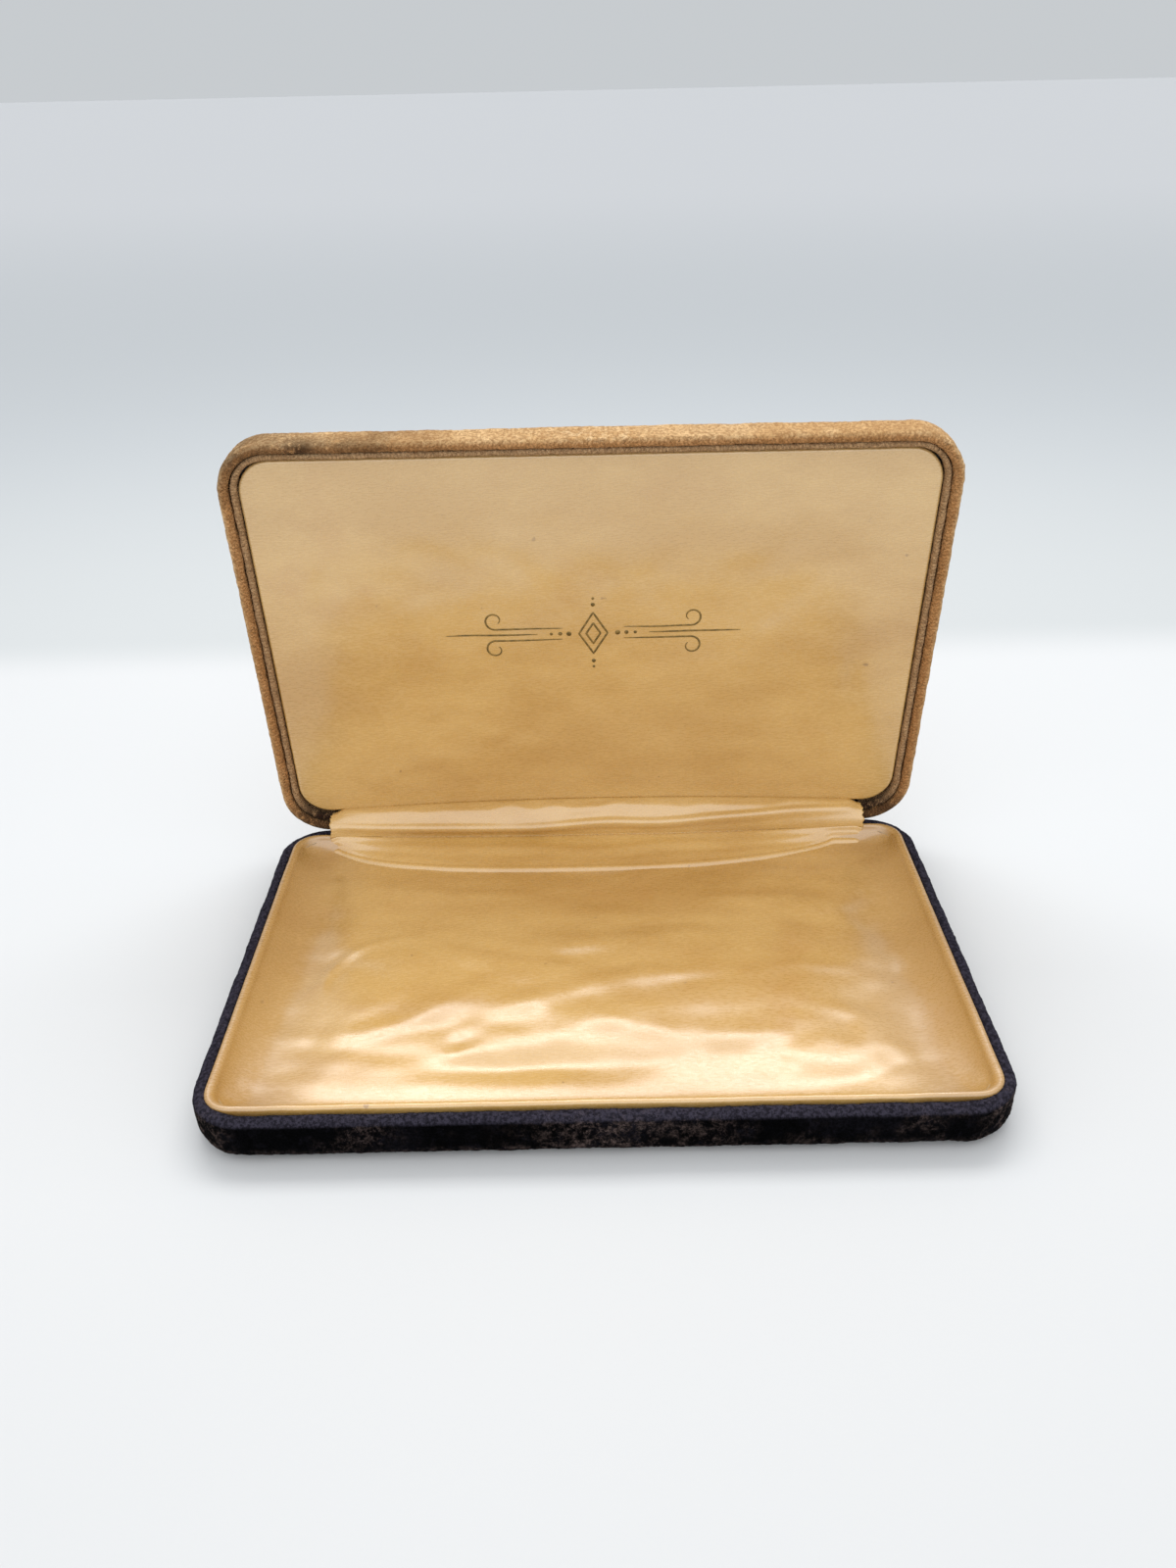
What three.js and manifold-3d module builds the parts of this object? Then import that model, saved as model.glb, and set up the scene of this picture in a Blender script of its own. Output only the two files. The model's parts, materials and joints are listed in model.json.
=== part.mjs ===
// Velvet-covered presentation case for a necklace, shown open.
//
// Frame: millimetres, +Z up, front edge towards -Y, hinge along +Y. The origin is
// the centre of the base's flat underside. Both halves are drawn shut and the lid
// is then swung open about the hinge axis.
//
// A "rim outline" is a rounded rectangle in plan; an inset is a distance inwards
// from it, and a depth is a distance from a tray's mouth towards its floor.

import * as THREE from 'three';
import * as BufferGeometryUtils from 'three/addons/utils/BufferGeometryUtils.js';
import Module from 'manifold-3d';

const wasm = await Module();
wasm.setup();

// ---- driving dimensions (mm) ----------------------------------------------

const WIDTH = 203;              // case, left to right (8 in)
const DEPTH = 133;              // case, front to hinge (5 1/4 in)
const CORNER = 14.5;            // plan corner radius of the case
const BASE_HEIGHT = 13;         // base, underside to rim
const LID_HEIGHT = 12.3;        // lid, rim to crown
const EDGE = 5;                 // rounding of the outer bottom and top edges
const RIM_GAP = 0.4;            // between the two rims when shut
const OPEN_ANGLE = THREE.MathUtils.degToRad(82);

const PILE = 0.7;               // velvet with its backing
const SHEET = 0.5;              // pressed steel shells and hinge leaves
const FIT = 0.3;                // clearance between neighbouring layers
const SATIN = 0.5;              // satin with its glued backing
const BASE_BEAD = 2;            // half the width of the base's rolled velvet rim
const LID_BEAD = 1.45;          // half the width of the lid's velvet rim
const TURN_IN = 6;              // how far the velvet goes down inside the rim

const AXIS_INSET = 1.1;         // hinge axis, in from the back face
const BARREL = 1.0;             // hinge knuckle radius
const BORE = 0.62;              // hinge knuckle bore radius
const PIN = 0.38;               // hinge pin radius
const HINGE_LENGTH = 168;
const KNUCKLES = 7;
const KNUCKLE_GAP = 0.4;
const LEAF_HEIGHT = 8;          // hinge leaf, from the axis to its far edge
const LEAF_INSET = 1.9;         // outer face of a leaf, in from the back face
const LEAF_START = 1.4;         // hinge leaf, from the axis to its near edge
const PIN_OVERHANG = 0.8;       // pin past each end of the barrel
const HINGE_SWEEP = 1.6;        // radius kept clear of velvet round the axis
const HINGE_HALF_CUT = 86;      // half the length of the cut in each back rim
const HINGE_CUT_BACK = 1.6;     // the cut, from this far in from the back face
const HINGE_CUT_FRONT = 7.5;    // to this far in

const SPRING_SPREAD = 47;       // snap spring centres, either side of the middle
const SPRING_WIDTH = 10;
const SPRING_THICK = 0.35;
const SPRING_REACH = 3.4;       // anchor slots, from the rim plane
const SPRING_BULGE = 2.92;      // sagitta of the curved strip's middle line
const SPRING_ROOM = 0.6;        // card cut away below the anchor slots
const SLOT_NEAR = 1.3;          // slot, from its anchor towards the axis
const SLOT_FAR = 1.1;           // and away from it
const SLOT_SIDE = 0.5;          // slot wider than the spring, at each side

const RIVET_SPREAD = [-72, -24, 24, 72];
const RIVET_DROP = 6.7;         // rivet centres, from the hinge axis
const RIVET_HEAD = 1.2;
const RIVET_SHANK = 0.5;
const RIVET_HOLE = 0.8;
const RIVET_HEAD_THICK = 0.5;
const RIVET_OVERLAP = 0.1;      // shank into its own head
const RIVET_HOLE_SPAN = [-3, 0.3];  // drilled from and to, from the hinge axis

const LIP_INSET = 4.3;          // base lining, in from the case's outline
const LIP_BEAD = 1.3;           // half the width of the lining's padded lip
const LIP_TOP = 13.55;          // the padded lip stands just above the rim
const VALLEY_INSET = 11;        // where the lining's slope meets its padded floor
const VALLEY = 8;               // height of the lining's low line
const CROWN = 11;               // height of the lining's padded middle
const CROWN_RUN_SIDE = 34;      // slope from valley to crown at the sides and back
const CROWN_RUN_FRONT = 44;     // and at the front
const LINING_LAP = 1.2;         // slope and padded floor overlap by this much
const SLOPE_FULLNESS = 0.4;     // bulge of the slope's outer face
const SLOPE_LINING = 0.2;       // and of its inner face

const SHELL_HEM = 3;            // base shell's folded hem inside the rim
const SHELL_SETBACK = 0.2;      // lid shell, back from the velvet's inner face
const CARD_DROP = 1.2;          // base card tray's edge below the rim
const CARD_EDGE = 1.6;          // its lower rounding
const CARD_WALL = 0.8;
const WADDING_INSET = 7.6;
const WADDING_DROP = 1;         // base wadding below the satin's upper face
const LID_LIP_RECESS = 1;       // lid's inner strip behind the rim

const PAD_INSET = 5.3;          // lid pad, in from the case's outline
const PAD_BACK_INSET = 6.6;
const PAD_RECESS = 2.5;         // lid pad's face behind the rim
const PAD_CORNER = 12;
const PAD_EDGE = 2.2;           // rounding of the pad's edge
const LID_CARD = 1.2;           // stiff card behind the pad

// ---- derived places --------------------------------------------------------

const BACK = DEPTH / 2;
const AXIS_Y = BACK - AXIS_INSET;
const AXIS_Z = BASE_HEIGHT + RIM_GAP / 2;
const LID_RIM = BASE_HEIGHT + RIM_GAP;
const CASE = { width: WIDTH, depth: DEPTH, corner: CORNER, y: 0 };
const CUT_DEPTH = TURN_IN + 1;  // hinge clearance, just past the velvet's end
const TALL = 2 * BASE_HEIGHT;   // a cutter that passes right through the base
const THROUGH = 1;              // a cutter past each face of a leaf

const CORNER_STEPS = 5;         // facets in a plan corner
const ARC_STEPS = 3;            // half the facets in a section's arc
const HIDDEN_ARC_STEPS = 2;     // the same, for pieces inside the case
const CROWN_CELLS = [14, 10];   // patches of the padded floor, across and back
const ROD_FACETS = 12;
const STUD_FACETS = 10;
const SWEEP_FACETS = 24;        // facets of the clearance round the hinge
const BOW_FACETS = 96;          // facets of the gusset's curved edge
const WELD = 1e-4;              // points closer than this are one point
const REPEAT = 1e-6;            // the same, along a section

// ---- materials -------------------------------------------------------------

const finish = (color, roughness, metalness = 0) =>
  new THREE.MeshStandardMaterial({ color, roughness, metalness });

const NAVY_VELVET = finish(0x12141c, 0.95);
const TAN_VELVET = finish(0xb08c60, 0.95);
const TAUPE_VELVET = finish(0x8d7460, 0.95);
const GOLD_SATIN = finish(0xcda464, 0.4);
const COTTON = finish(0xece6d8, 1.0);
const CARD = finish(0xb7a07c, 0.9);
const TINPLATE = finish(0x9a9a96, 0.45, 1.0);
const SPRING_STEEL = finish(0x6f7278, 0.35, 1.0);
const BRASS = finish(0xb8975a, 0.35, 1.0);

// ---- solids ----------------------------------------------------------------

// Turns a closed geometry into a solid whose faces point outwards.
function solid(geometry) {
  const bare = geometry.index ? geometry : geometry.clone();
  bare.deleteAttribute('normal');
  bare.deleteAttribute('uv');
  const merged = BufferGeometryUtils.mergeVertices(bare, WELD);
  const vertProperties = new Float32Array(merged.attributes.position.array);
  const triVerts = dropSlivers(merged.index.array);
  if (signedVolume(vertProperties, triVerts) < 0) {
    triVerts.reverse();
  }
  return new wasm.Manifold(new wasm.Mesh({ numProp: 3, vertProperties, triVerts }));
}

// Leaves out triangles that merging has reduced to a line.
function dropSlivers(index) {
  const kept = [];
  for (let i = 0; i < index.length; i += 3) {
    const [a, b, c] = [index[i], index[i + 1], index[i + 2]];
    if (a !== b && b !== c && c !== a) {
      kept.push(a, b, c);
    }
  }
  return new Uint32Array(kept);
}

function signedVolume(positions, index) {
  const [a, b, c] = [new THREE.Vector3(), new THREE.Vector3(), new THREE.Vector3()];
  let volume = 0;
  for (let i = 0; i < index.length; i += 3) {
    a.fromArray(positions, 3 * index[i]);
    b.fromArray(positions, 3 * index[i + 1]);
    c.fromArray(positions, 3 * index[i + 2]);
    volume += a.dot(b.cross(c));
  }
  return volume;
}

function named(name, body, material) {
  const { vertProperties, triVerts } = body.getMesh();
  const geometry = new THREE.BufferGeometry();
  geometry.setAttribute('position', new THREE.BufferAttribute(vertProperties, 3));
  geometry.setIndex(new THREE.BufferAttribute(triVerts, 1));
  geometry.computeVertexNormals();
  const mesh = new THREE.Mesh(geometry, material);
  mesh.name = name;
  return mesh;
}

const inset = (outline, by) => ({
  width: outline.width - 2 * by,
  depth: outline.depth - 2 * by,
  corner: Math.max(outline.corner - by, 1),
  y: outline.y,
});

// A ring of the section (inset, height) along a rounded rectangle: a turned
// profile, one corner radius across, whose four quarters are then pulled apart.
function ring(outline, section) {
  const segments = 4 * CORNER_STEPS;
  const halfStep = Math.PI / segments;
  const toFlat = 1 / Math.cos(halfStep);
  const profile = section.map(
    (point) => new THREE.Vector2((outline.corner - point.x) * toFlat, point.y));
  profile.push(profile[0].clone());
  const geometry = new THREE.LatheGeometry(profile, segments, halfStep, 2 * Math.PI);
  geometry.rotateX(Math.PI / 2);
  const position = geometry.attributes.position;
  for (let i = 0; i < position.count; i += 1) {
    const x = position.getX(i);
    const y = position.getY(i);
    position.setX(i, x + Math.sign(x) * (outline.width / 2 - outline.corner));
    position.setY(i, y + Math.sign(y) * (outline.depth / 2 - outline.corner) + outline.y);
  }
  return solid(geometry);
}

function roundedRectangle({ width, depth, corner }) {
  const [x, y] = [width / 2, depth / 2];
  const shape = new THREE.Shape();
  shape.moveTo(x, -y + corner);
  shape.absarc(x - corner, y - corner, corner, 0, Math.PI / 2);
  shape.absarc(-x + corner, y - corner, corner, Math.PI / 2, Math.PI);
  shape.absarc(-x + corner, -y + corner, corner, Math.PI, 1.5 * Math.PI);
  shape.absarc(x - corner, -y + corner, corner, 1.5 * Math.PI, 2 * Math.PI);
  return shape;
}

// A flat slab of a rounded rectangle from one height to another.
function slab(outline, low, high) {
  const geometry = new THREE.ExtrudeGeometry(roundedRectangle(outline), {
    depth: high - low,
    bevelEnabled: false,
    curveSegments: CORNER_STEPS,
  });
  return solid(geometry.translate(0, outline.y, low));
}

// The same slab with its upper and lower edges rounded.
function cushion(outline, low, high, round) {
  const geometry = new THREE.ExtrudeGeometry(roundedRectangle(inset(outline, round)), {
    depth: high - low - 2 * round,
    bevelThickness: round,
    bevelSize: round,
    bevelSegments: HIDDEN_ARC_STEPS,
    curveSegments: CORNER_STEPS,
  });
  return solid(geometry.translate(0, outline.y, low + round));
}

function box(x0, x1, y0, y1, z0, z1) {
  const geometry = new THREE.BoxGeometry(x1 - x0, y1 - y0, z1 - z0);
  return solid(geometry.translate((x0 + x1) / 2, (y0 + y1) / 2, (z0 + z1) / 2));
}

// A cylinder along X, about a point of the YZ plane.
function rod(radius, x0, x1, y, z, facets = ROD_FACETS) {
  const geometry = new THREE.CylinderGeometry(radius, radius, x1 - x0, facets);
  geometry.rotateZ(Math.PI / 2);
  return solid(geometry.translate((x0 + x1) / 2, y, z));
}

// A cylinder along Y.
function stud(radius, x, y0, y1, z, facets = STUD_FACETS) {
  const geometry = new THREE.CylinderGeometry(radius, radius, y1 - y0, facets);
  return solid(geometry.translate(x, (y0 + y1) / 2, z));
}

// Extrudes a shape of the YZ plane along X, centred on x.
function acrossX(shape, length, x = 0) {
  const geometry = new THREE.ExtrudeGeometry(shape, {
    depth: length,
    bevelEnabled: false,
    curveSegments: 2 * CORNER_STEPS,
  });
  const upright = new THREE.Matrix4().makeBasis(
    new THREE.Vector3(0, 1, 0),
    new THREE.Vector3(0, 0, 1),
    new THREE.Vector3(1, 0, 0));
  return solid(geometry.applyMatrix4(upright).translate(x - length / 2, 0, 0));
}

// ---- trays -----------------------------------------------------------------

// Section of a tray whose wall rolls over at the mouth and turns back down inside.
function rolledSection({ depth, edge, bead, wall, turnIn }) {
  const path = new THREE.Path();
  path.moveTo(edge, depth);
  path.absarc(edge, depth - edge, edge, Math.PI / 2, Math.PI, false);
  path.lineTo(0, bead);
  path.absarc(bead, bead, bead, Math.PI, 2 * Math.PI, false);
  path.lineTo(2 * bead, turnIn);
  path.lineTo(2 * bead - wall, turnIn);
  path.lineTo(2 * bead - wall, bead);
  path.absarc(bead, bead, bead - wall, 2 * Math.PI, Math.PI, true);
  path.lineTo(wall, depth - edge);
  path.absarc(edge, depth - edge, edge - wall, Math.PI, Math.PI / 2, true);
  return path;
}

// Section of a tray whose wall simply ends at the mouth.
function plainSection({ depth, edge, wall }) {
  const path = new THREE.Path();
  path.moveTo(edge, depth);
  path.absarc(edge, depth - edge, edge, Math.PI / 2, Math.PI, false);
  path.lineTo(0, 0);
  path.lineTo(wall, 0);
  path.lineTo(wall, depth - edge);
  path.absarc(edge, depth - edge, edge - wall, Math.PI, Math.PI / 2, true);
  return path;
}

// A tray of either section. up is +1 where the mouth is on top and -1 where it
// faces down.
function tray(outline, mouth, up, shape, steps = ARC_STEPS) {
  const { depth, edge, wall } = shape;
  const path = shape.bead ? rolledSection(shape) : plainSection(shape);
  const points = path.getPoints(steps);
  const section = withoutRepeats(points.map((p) => new THREE.Vector2(p.x, mouth - up * p.y)));
  const floor = [mouth - up * depth, mouth - up * (depth - wall)].sort((a, b) => a - b);
  return ring(outline, section).add(slab(inset(outline, edge - wall), ...floor));
}

const withoutRepeats = (points) =>
  points.filter((p, i) => p.distanceTo(points[(i + 1) % points.length]) > REPEAT);

// Everything that the hinge needs clear in one half's back rim. side is -1 for
// the base, below the axis, and +1 for the lid, above it.
function hingeClearance(side, depth) {
  const reach = [AXIS_Z - side * BARREL, AXIS_Z + side * depth].sort((a, b) => a - b);
  const [x0, x1] = [-HINGE_HALF_CUT, HINGE_HALF_CUT];
  const round = rod(HINGE_SWEEP, x0, x1, AXIS_Y, AXIS_Z, SWEEP_FACETS);
  const inside = box(x0, x1, BACK - HINGE_CUT_FRONT, BACK - HINGE_CUT_BACK, ...reach);
  return round.add(inside);
}

// ---- base ------------------------------------------------------------------

function baseVelvetCover() {
  const cover = tray(CASE, BASE_HEIGHT, 1, {
    depth: BASE_HEIGHT, edge: EDGE, bead: BASE_BEAD, wall: PILE, turnIn: TURN_IN,
  });
  return cover.subtract(hingeClearance(-1, CUT_DEPTH));
}

function baseShell() {
  const gap = PILE + FIT;
  const shell = tray(inset(CASE, gap), BASE_HEIGHT - gap, 1, {
    depth: BASE_HEIGHT - 2 * gap, edge: EDGE - gap, bead: BASE_BEAD - gap,
    wall: SHEET, turnIn: SHELL_HEM,
  }, HIDDEN_ARC_STEPS);
  return shell.subtract(hingeClearance(-1, CUT_DEPTH)).subtract(rivetHoles(-1));
}

// Height of the padded floor: flat along the valley, rising to the crown.
function crownHeight(x, y) {
  const side = WIDTH / 2 - VALLEY_INSET - Math.abs(x);
  const end = BACK - VALLEY_INSET - Math.abs(y);
  const run = y < 0 ? CROWN_RUN_FRONT : CROWN_RUN_SIDE;
  const rise = THREE.MathUtils.smoothstep(side, 0, CROWN_RUN_SIDE)
    * THREE.MathUtils.smoothstep(end, 0, run);
  return VALLEY + (CROWN - VALLEY) * rise;
}

// A slab of the given outline whose top follows the crown, a distance below it.
// Its underside is flat at low, or follows the top where thick is given.
function crowned(outline, below, { low, thick }) {
  const grid = new THREE.BoxGeometry(WIDTH, DEPTH, 1, ...CROWN_CELLS, 1);
  const position = grid.attributes.position;
  for (let i = 0; i < position.count; i += 1) {
    const top = crownHeight(position.getX(i), position.getY(i)) - below;
    const underside = thick ? top - thick : low;
    position.setZ(i, position.getZ(i) > 0 ? top : underside);
  }
  return solid(grid).intersect(slab(outline, 0, TALL));
}

function baseCardTray() {
  const outline = inset(CASE, LIP_INSET + SATIN + FIT);
  const floor = PILE + FIT + SHEET + FIT;
  const top = BASE_HEIGHT - CARD_DROP;
  const card = tray(outline, top, 1, {
    depth: top - floor, edge: CARD_EDGE, wall: CARD_WALL,
  }, HIDDEN_ARC_STEPS);
  const springRoom = box(-HINGE_HALF_CUT, HINGE_HALF_CUT, BACK - HINGE_CUT_FRONT, BACK,
    AXIS_Z - SPRING_REACH - SPRING_ROOM, BASE_HEIGHT);
  return card.subtract(springRoom);
}

function baseWadding() {
  const low = PILE + SHEET + 3 * FIT + CARD_WALL;
  return crowned(inset(CASE, WADDING_INSET), WADDING_DROP, { low });
}

// The padded lip just inside the rim, and the slope down to the valley.
function liningLip() {
  const outer = LIP_INSET;
  const middle = outer + LIP_BEAD;
  const shoulder = LIP_TOP - LIP_BEAD;
  const foot = VALLEY_INSET + LINING_LAP;
  const path = new THREE.Path();
  path.moveTo(outer, VALLEY);
  path.lineTo(outer, shoulder);
  path.absarc(middle, shoulder, LIP_BEAD, Math.PI, 0, true);
  path.quadraticCurveTo(middle + LIP_BEAD + SLOPE_FULLNESS, VALLEY, VALLEY_INSET, VALLEY);
  path.lineTo(foot, VALLEY);
  path.lineTo(foot, VALLEY - SATIN);
  path.lineTo(VALLEY_INSET, VALLEY - SATIN);
  path.quadraticCurveTo(middle + LIP_BEAD - SLOPE_LINING, VALLEY - SATIN,
    middle + LIP_BEAD - SATIN, shoulder);
  path.absarc(middle, shoulder, LIP_BEAD - SATIN, 0, Math.PI, false);
  path.lineTo(outer + SATIN, VALLEY);
  return ring(CASE, withoutRepeats(path.getPoints(ARC_STEPS)));
}

// The lip stops at both ends of the hinge, where the gusset covers the back.
function baseSatinLining() {
  const floor = crowned(inset(CASE, VALLEY_INSET), 0, { thick: SATIN });
  const backLip = box(-HINGE_HALF_CUT, HINGE_HALF_CUT, BACK - HINGE_CUT_FRONT, BACK, 0, TALL);
  return liningLip().add(floor).subtract(backLip);
}

// ---- lid, drawn shut over the base -----------------------------------------

function lidVelvetCover() {
  const cover = tray(CASE, LID_RIM, -1, {
    depth: LID_HEIGHT, edge: EDGE, bead: LID_BEAD, wall: PILE, turnIn: TURN_IN,
  });
  return cover.subtract(hingeClearance(1, CUT_DEPTH));
}

function lidShell() {
  const gap = PILE + FIT;
  const mouth = gap + SHELL_SETBACK;
  const shell = tray(inset(CASE, gap), LID_RIM + mouth, -1, {
    depth: LID_HEIGHT - gap - mouth, edge: EDGE - gap, wall: SHEET,
  }, HIDDEN_ARC_STEPS);
  return shell.subtract(hingeClearance(1, CUT_DEPTH)).subtract(rivetHoles(1));
}

// The strip of velvet over card that stands between the rim and the pad.
function lidVelvetLip() {
  const [outer, inner] = [2 * LID_BEAD + FIT, PAD_INSET - FIT];
  const round = (inner - outer) / 2;
  const top = LID_RIM + LID_LIP_RECESS;
  const path = new THREE.Path();
  path.moveTo(outer, LID_RIM + TURN_IN + FIT);
  path.lineTo(outer, top + round);
  path.absarc(outer + round, top + round, round, Math.PI, 2 * Math.PI, false);
  path.lineTo(inner, LID_RIM + TURN_IN + FIT);
  const strip = ring(CASE, withoutRepeats(path.getPoints(ARC_STEPS)));
  return strip.subtract(hingeClearance(1, CUT_DEPTH));
}

const padOutline = (margin) => {
  const front = -BACK + PAD_INSET + margin;
  const back = BACK - PAD_BACK_INSET - margin;
  return {
    width: WIDTH - 2 * (PAD_INSET + margin),
    depth: back - front,
    corner: PAD_CORNER - margin,
    y: (front + back) / 2,
  };
};

const LID_FLOOR = LID_RIM + LID_HEIGHT - PILE - SHEET - 2 * FIT;
const LID_CARD_FACE = LID_FLOOR - LID_CARD;

function lidPadCard() {
  return slab(padOutline(FIT), LID_CARD_FACE, LID_FLOOR);
}

function lidWadding() {
  const face = LID_RIM + PAD_RECESS + SATIN + FIT;
  return cushion(padOutline(SATIN + FIT), face, LID_CARD_FACE - FIT, PAD_EDGE - SATIN);
}

function lidSatinPad() {
  const hem = LID_CARD_FACE - FIT;
  return tray(padOutline(0), hem, 1, {
    depth: hem - LID_RIM - PAD_RECESS, edge: PAD_EDGE, wall: SATIN,
  });
}

// ---- hinge -----------------------------------------------------------------

// Ends of knuckle i along X, with half a gap left at each end.
function knuckleSpan(i) {
  const pitch = HINGE_LENGTH / KNUCKLES;
  const start = -HINGE_LENGTH / 2 + i * pitch;
  return [start + KNUCKLE_GAP / 2, start + pitch - KNUCKLE_GAP / 2];
}

// One leaf with every second knuckle. side is -1 for the base, +1 for the lid.
function hingeLeaf(side, firstKnuckle) {
  const [inner, outer] = [BACK - LEAF_INSET - SHEET, BACK - LEAF_INSET];
  const upright = (x0, x1, from, to) => {
    const ends = [AXIS_Z + side * from, AXIS_Z + side * to].sort((a, b) => a - b);
    return box(x0, x1, inner, outer, ...ends);
  };
  let leaf = upright(-HINGE_LENGTH / 2, HINGE_LENGTH / 2, LEAF_START, LEAF_HEIGHT);
  for (let i = firstKnuckle; i < KNUCKLES; i += 2) {
    const [x0, x1] = knuckleSpan(i);
    leaf = leaf.add(upright(x0, x1, 0, LEAF_HEIGHT / 2));
    leaf = leaf.add(rod(BARREL, x0, x1, AXIS_Y, AXIS_Z));
  }
  leaf = leaf.subtract(rod(BORE, -HINGE_LENGTH, HINGE_LENGTH, AXIS_Y, AXIS_Z));
  for (const x of [-SPRING_SPREAD, SPRING_SPREAD]) {
    const half = SPRING_WIDTH / 2 + SLOT_SIDE;
    const ends = [SPRING_REACH - SLOT_NEAR, SPRING_REACH + SLOT_FAR];
    const slot = ends.map((distance) => AXIS_Z + side * distance).sort((a, b) => a - b);
    leaf = leaf.subtract(box(x - half, x + half, inner - THROUGH, outer + THROUGH, ...slot));
  }
  return leaf.subtract(rivetHoles(side));
}

function hingePin() {
  const half = HINGE_LENGTH / 2 + PIN_OVERHANG;
  return rod(PIN, -half, half, AXIS_Y, AXIS_Z);
}

function rivetHoles(side) {
  const [y0, y1] = RIVET_HOLE_SPAN.map((distance) => AXIS_Y + distance);
  const z = AXIS_Z + side * RIVET_DROP;
  const holes = RIVET_SPREAD.map((x) => stud(RIVET_HOLE, x, y0, y1, z));
  return holes.reduce((all, hole) => all.add(hole));
}

function rivet(x, side) {
  const z = AXIS_Z + side * RIVET_DROP;
  const seat = BACK - LEAF_INSET - SHEET - FIT;
  const head = stud(RIVET_HEAD, x, seat - RIVET_HEAD_THICK, seat, z);
  return head.add(stud(RIVET_SHANK, x, seat - RIVET_OVERLAP, BACK - PILE - 2 * FIT, z));
}

// ---- snap springs ----------------------------------------------------------

// Slots for a spring's two ends, from the hinge axis, with the case shut.
const SLOT_IN = LEAF_INSET + SHEET / 2 - AXIS_INSET;
const SLOT_RADIUS = Math.hypot(SLOT_IN, SPRING_REACH);
const SLOT_ANGLE = Math.atan2(SPRING_REACH, SLOT_IN);

// A strip bowed towards the front between its two slots. It is drawn upright from
// its lower end and turned by half the lid's angle, because its two slots stay at
// one distance from the axis.
function snapSpring(x) {
  const chord = 2 * SLOT_RADIUS * Math.sin(SLOT_ANGLE + OPEN_ANGLE / 2);
  const radius = (chord * chord / 4 + SPRING_BULGE ** 2) / (2 * SPRING_BULGE);
  const half = Math.asin(chord / 2 / radius);
  const centre = [radius - SPRING_BULGE, chord / 2];
  const shape = new THREE.Shape();
  shape.absarc(...centre, radius + SPRING_THICK / 2, Math.PI + half, Math.PI - half, true);
  shape.absarc(...centre, radius - SPRING_THICK / 2, Math.PI - half, Math.PI + half, false);
  return acrossX(shape, SPRING_WIDTH, x);
}

// ---- gusset ----------------------------------------------------------------

// The strip of satin that bridges the hinge, drawn in place with the lid open:
// points (y, z) from the hinge axis, front edge first.
const GUSSET = [[-22.5, -2.9], [-4.7, 0.1], [-3.4, 3.5], [3.3, 5.4]];
const GUSSET_LENGTH = 166;
const GUSSET_FRONT = 23;        // its curved front edge, in from the back face
const GUSSET_END = 4;           // the same, at the ends of the hinge cut

function hingeGusset() {
  const line = GUSSET.map(([y, z]) => new THREE.Vector2(AXIS_Y + y, AXIS_Z + z));
  const shifted = line.map((point, i) => {
    const [a, b] = [line[Math.max(i - 1, 0)], line[Math.min(i + 1, line.length - 1)]];
    const along = b.clone().sub(a).normalize();
    return new THREE.Vector2(point.x + along.y * SATIN, point.y - along.x * SATIN);
  });
  const strip = acrossX(new THREE.Shape([...line, ...shifted.reverse()]), GUSSET_LENGTH);
  const sag = GUSSET_FRONT - GUSSET_END;
  const radius = ((HINGE_HALF_CUT ** 2) + sag * sag) / (2 * sag);
  const bow = new THREE.CylinderGeometry(radius, radius, 2 * TALL, BOW_FACETS);
  bow.rotateX(Math.PI / 2).translate(0, BACK - GUSSET_FRONT + radius, AXIS_Z);
  return strip.intersect(solid(bow));
}

// ---- assembly --------------------------------------------------------------

const base = new THREE.Group();
base.add(named('base_velvet_cover', baseVelvetCover(), NAVY_VELVET));
base.add(named('base_shell', baseShell(), TINPLATE));
base.add(named('base_card_tray', baseCardTray(), CARD));
base.add(named('base_wadding', baseWadding(), COTTON));
base.add(named('base_satin_lining', baseSatinLining(), GOLD_SATIN));
base.add(named('hinge_base_leaf', hingeLeaf(-1, 0), BRASS));
base.add(named('hinge_pin', hingePin(), SPRING_STEEL));
base.add(named('hinge_gusset', hingeGusset(), GOLD_SATIN));
RIVET_SPREAD.forEach((x, i) => base.add(named(`base_rivet_${i + 1}`, rivet(x, -1), BRASS)));

const lid = new THREE.Group();
lid.position.set(0, AXIS_Y, AXIS_Z);
lid.rotation.x = -OPEN_ANGLE;
const lidPieces = [
  named('lid_velvet_cover', lidVelvetCover(), TAN_VELVET),
  named('lid_velvet_lip', lidVelvetLip(), TAUPE_VELVET),
  named('lid_shell', lidShell(), TINPLATE),
  named('lid_pad_card', lidPadCard(), CARD),
  named('lid_wadding', lidWadding(), COTTON),
  named('lid_satin_pad', lidSatinPad(), GOLD_SATIN),
  named('hinge_lid_leaf', hingeLeaf(1, 1), BRASS),
  ...RIVET_SPREAD.map((x, i) => named(`lid_rivet_${i + 1}`, rivet(x, 1), BRASS)),
];
for (const piece of lidPieces) {
  piece.position.set(0, -AXIS_Y, -AXIS_Z);
  lid.add(piece);
}

const springs = new THREE.Group();
springs.position.set(0, AXIS_Y - SLOT_IN, AXIS_Z - SPRING_REACH);
springs.rotation.x = -OPEN_ANGLE / 2;
springs.add(named('snap_spring_left', snapSpring(-SPRING_SPREAD), SPRING_STEEL));
springs.add(named('snap_spring_right', snapSpring(SPRING_SPREAD), SPRING_STEEL));

const group = new THREE.Group();
group.add(base, lid, springs);

export default group;
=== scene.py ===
import json
import math

import bpy
import numpy as np
from mathutils import Matrix, Vector
from mathutils.bvhtree import BVHTree


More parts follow.
